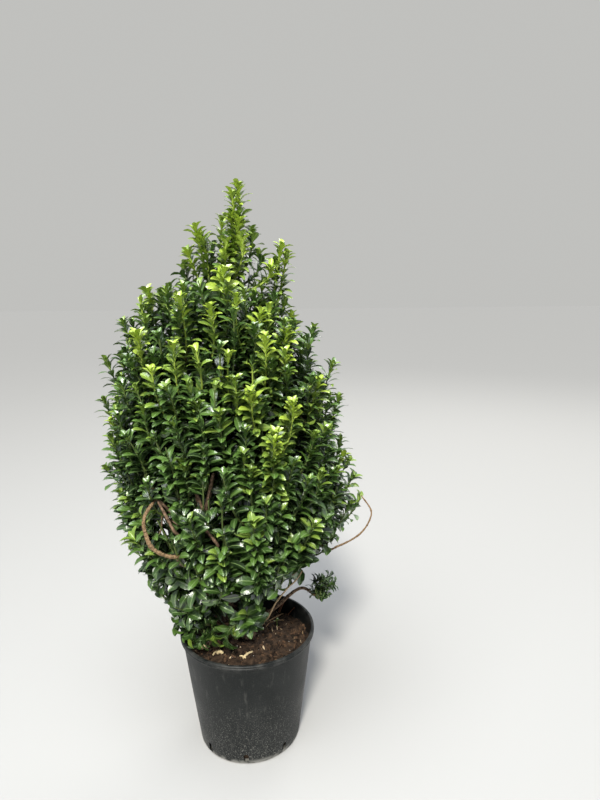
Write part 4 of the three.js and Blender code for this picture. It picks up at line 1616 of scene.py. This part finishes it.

# THE SPRIG
# A thin low branch with grey brown bark grows from the foot of the trunk. It arches out bare over the
# pot's rim on the right, and ends in a few short shoots with small leaves in the darkest greens, which are
# painted shade for the shade the sprig hangs in.
SPRIG_STEM = ((0, 0, 0.196), (0.042, 0.012, 0.218), (0.088, 0.02, 0.2525), (0.116, 0.02, 0.239))
SPRIG_TIPS = (
    (0.145, 0.02, 0.26),
    (0.138, 0.031, 0.268),
    (0.139, 0.01, 0.264),
    (0.127, 0.012, 0.27),
    (0.121, 0.027, 0.266),
    (0.131, 0.022, 0.258),
)
SPRIG_LOW = 0.24
SPRIG_STEM_LENGTH = 0.012
SPRIG_RISE = 0.03
SPRIG_MIDDLE = Vector((0.13, 0.02, 0.262))
SPRIG_RADIUS = 0.037
SPRIG_LEAF = 0.0185
SPRIG_LEAFY = 0.045
# Only the two darkest greens: painted shade, for the shade that the sprig hangs in.
SHADED_SPRIG_TINTS = (("dark", 3), ("deep", REST))


def near_sprig(point):
    return (point - SPRIG_MIDDLE).length < SPRIG_RADIUS and point.z > SPRIG_LOW


def sprig():
    dice = random.Random(FIRST_SEED)
    line = smooth_line([Vector(point) for point in SPRIG_STEM], BARE_STEPS)
    branch = grown_limbs("sprig_bark", [tapered(line, BOUGH["foot"], BOUGH["tip"])], BARE_SIDES, [bark] * 3)
    roughen_bark(branch.data, BARE_RELIEF)
    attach(branch, "root")
    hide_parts("bough_sprig")
    seed = line[-1] + (line[-1] - line[-2]).normalized() * SPRIG_STEM_LENGTH
    shoots = []
    for tip in SPRIG_TIPS:
        twig = shoot_line(seed, Vector(tip), SPRIG_RISE, dice)
        shoots.append(new_shoot(twig, SIDE_RADII, SHADED_SPRIG_TINTS, dice))
        shoots[-1].update({"leaf": SPRIG_LEAF, "leafy": SPRIG_LEAFY, "fits": near_sprig})
    foliage("sprig", tapered([line[-1], seed], BOUGH["tip"], BOUGH["tip"]), shoots, dice)


sprig()

# THE LITTER
# A few pruned stubs and dry twigs lie on the compost at the right, with pale chips of wood by the rim
# at the front. One weed seedling has come up beside them.
LITTER_COLOURS = {
    "dry_wood": (0.3, 0.19, 0.1, 1),
    "pale_wood": (0.66, 0.53, 0.3, 1),
    "red_wood": (0.2, 0.09, 0.05, 1),
}
# Each piece has the two pixels in the photo that it lies between, its radius and its colour. Where
# the second pixel lies past the compost the piece is a stub that stands up from its foot.
LITTER = (
    ((262, 627), (283, 614), 0.0013, "dry_wood"),
    ((266, 628), (277, 616), 0.0009, "dry_wood"),
    ((270, 624), (284, 622), 0.0008, "dry_wood"),
    ((279, 611), (285, 600), 0.0026, "red_wood"),
    ((288, 615), (296, 606), 0.0011, "red_wood"),
    ((243, 660), (252, 653), 0.0021, "pale_wood"),
    ((240, 659), (246, 660), 0.0014, "pale_wood"),
    ((202, 649), (208, 651), 0.0036, "pale_wood"),
    ((213, 656), (217, 652), 0.0017, "pale_wood"),
    ((218, 655), (223, 657), 0.0031, "pale_wood"),
)
LITTER_AIR = 0.004
LITTER_SIDES = 7
LITTER_STEPS = 5
SEEDLING = {"foot": (277, 628), "tall": 0.014, "leaf": 0.0095}


def on_soil(pixel, above=0.0):
    """The point on the compost that the photo shows at a pixel."""
    ray = sight(pixel)
    point = CAMERA_PLACE + ray * (SOIL_LEVEL + SOIL_GRIT["height"] - CAMERA_PLACE.z) / ray.z
    point.z = soil_height(point.x, point.y) + above
    return point


def litter():
    names = list(LITTER_COLOURS)
    limbs = []
    for start, end, radius, colour in LITTER:
        ends = [on_soil(pixel, radius) for pixel in (start, end)]
        if math.hypot(ends[1].x, ends[1].y) > wall_at(SOIL_LEVEL) - POT_WALL - LITTER_AIR:
            ends[1] = in_depth(end, ends[0].y)
        middle = ends[0].lerp(ends[1], 0.5) + Vector((0, 0, radius * 2))
        line = bent(ends[0], middle, ends[1], LITTER_STEPS)
        limbs.append(tapered(line, radius, radius * TRUNK["taper"], names.index(colour)))
    finishes = [scrap_finish(name, colour) for name, colour in LITTER_COLOURS.items()]
    made = grown_limbs("litter", limbs, LITTER_SIDES, finishes)
    roughen_bark(made.data, BARE_RELIEF)
    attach(made, "root")


def seedling():
    dice = random.Random(FIRST_SEED)
    foot = on_soil(SEEDLING["foot"])
    tip = foot + Vector((0, 0, SEEDLING["tall"]))
    shoot = new_shoot(bent(foot, foot.lerp(tip, 0.5), tip, LITTER_STEPS), SIDE_RADII, PLAIN_TINTS, dice)
    shoot.update({"leaf": SEEDLING["leaf"], "leafy": SEEDLING["tall"] * OLD_WOOD, "fits": lambda point: True})
    blades = blades_at("seedling_leaves", leaves_on(shoot, dice))
    stem = grown_limbs("seedling_stem", [shoot["twig"]], TWIG_SIDES, twig_finishes)
    for piece, slot in ((blades, "leaves"), (stem, "bark")):
        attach(piece, "root")


litter()
seedling()
clear_shelf(leaf_shelf)
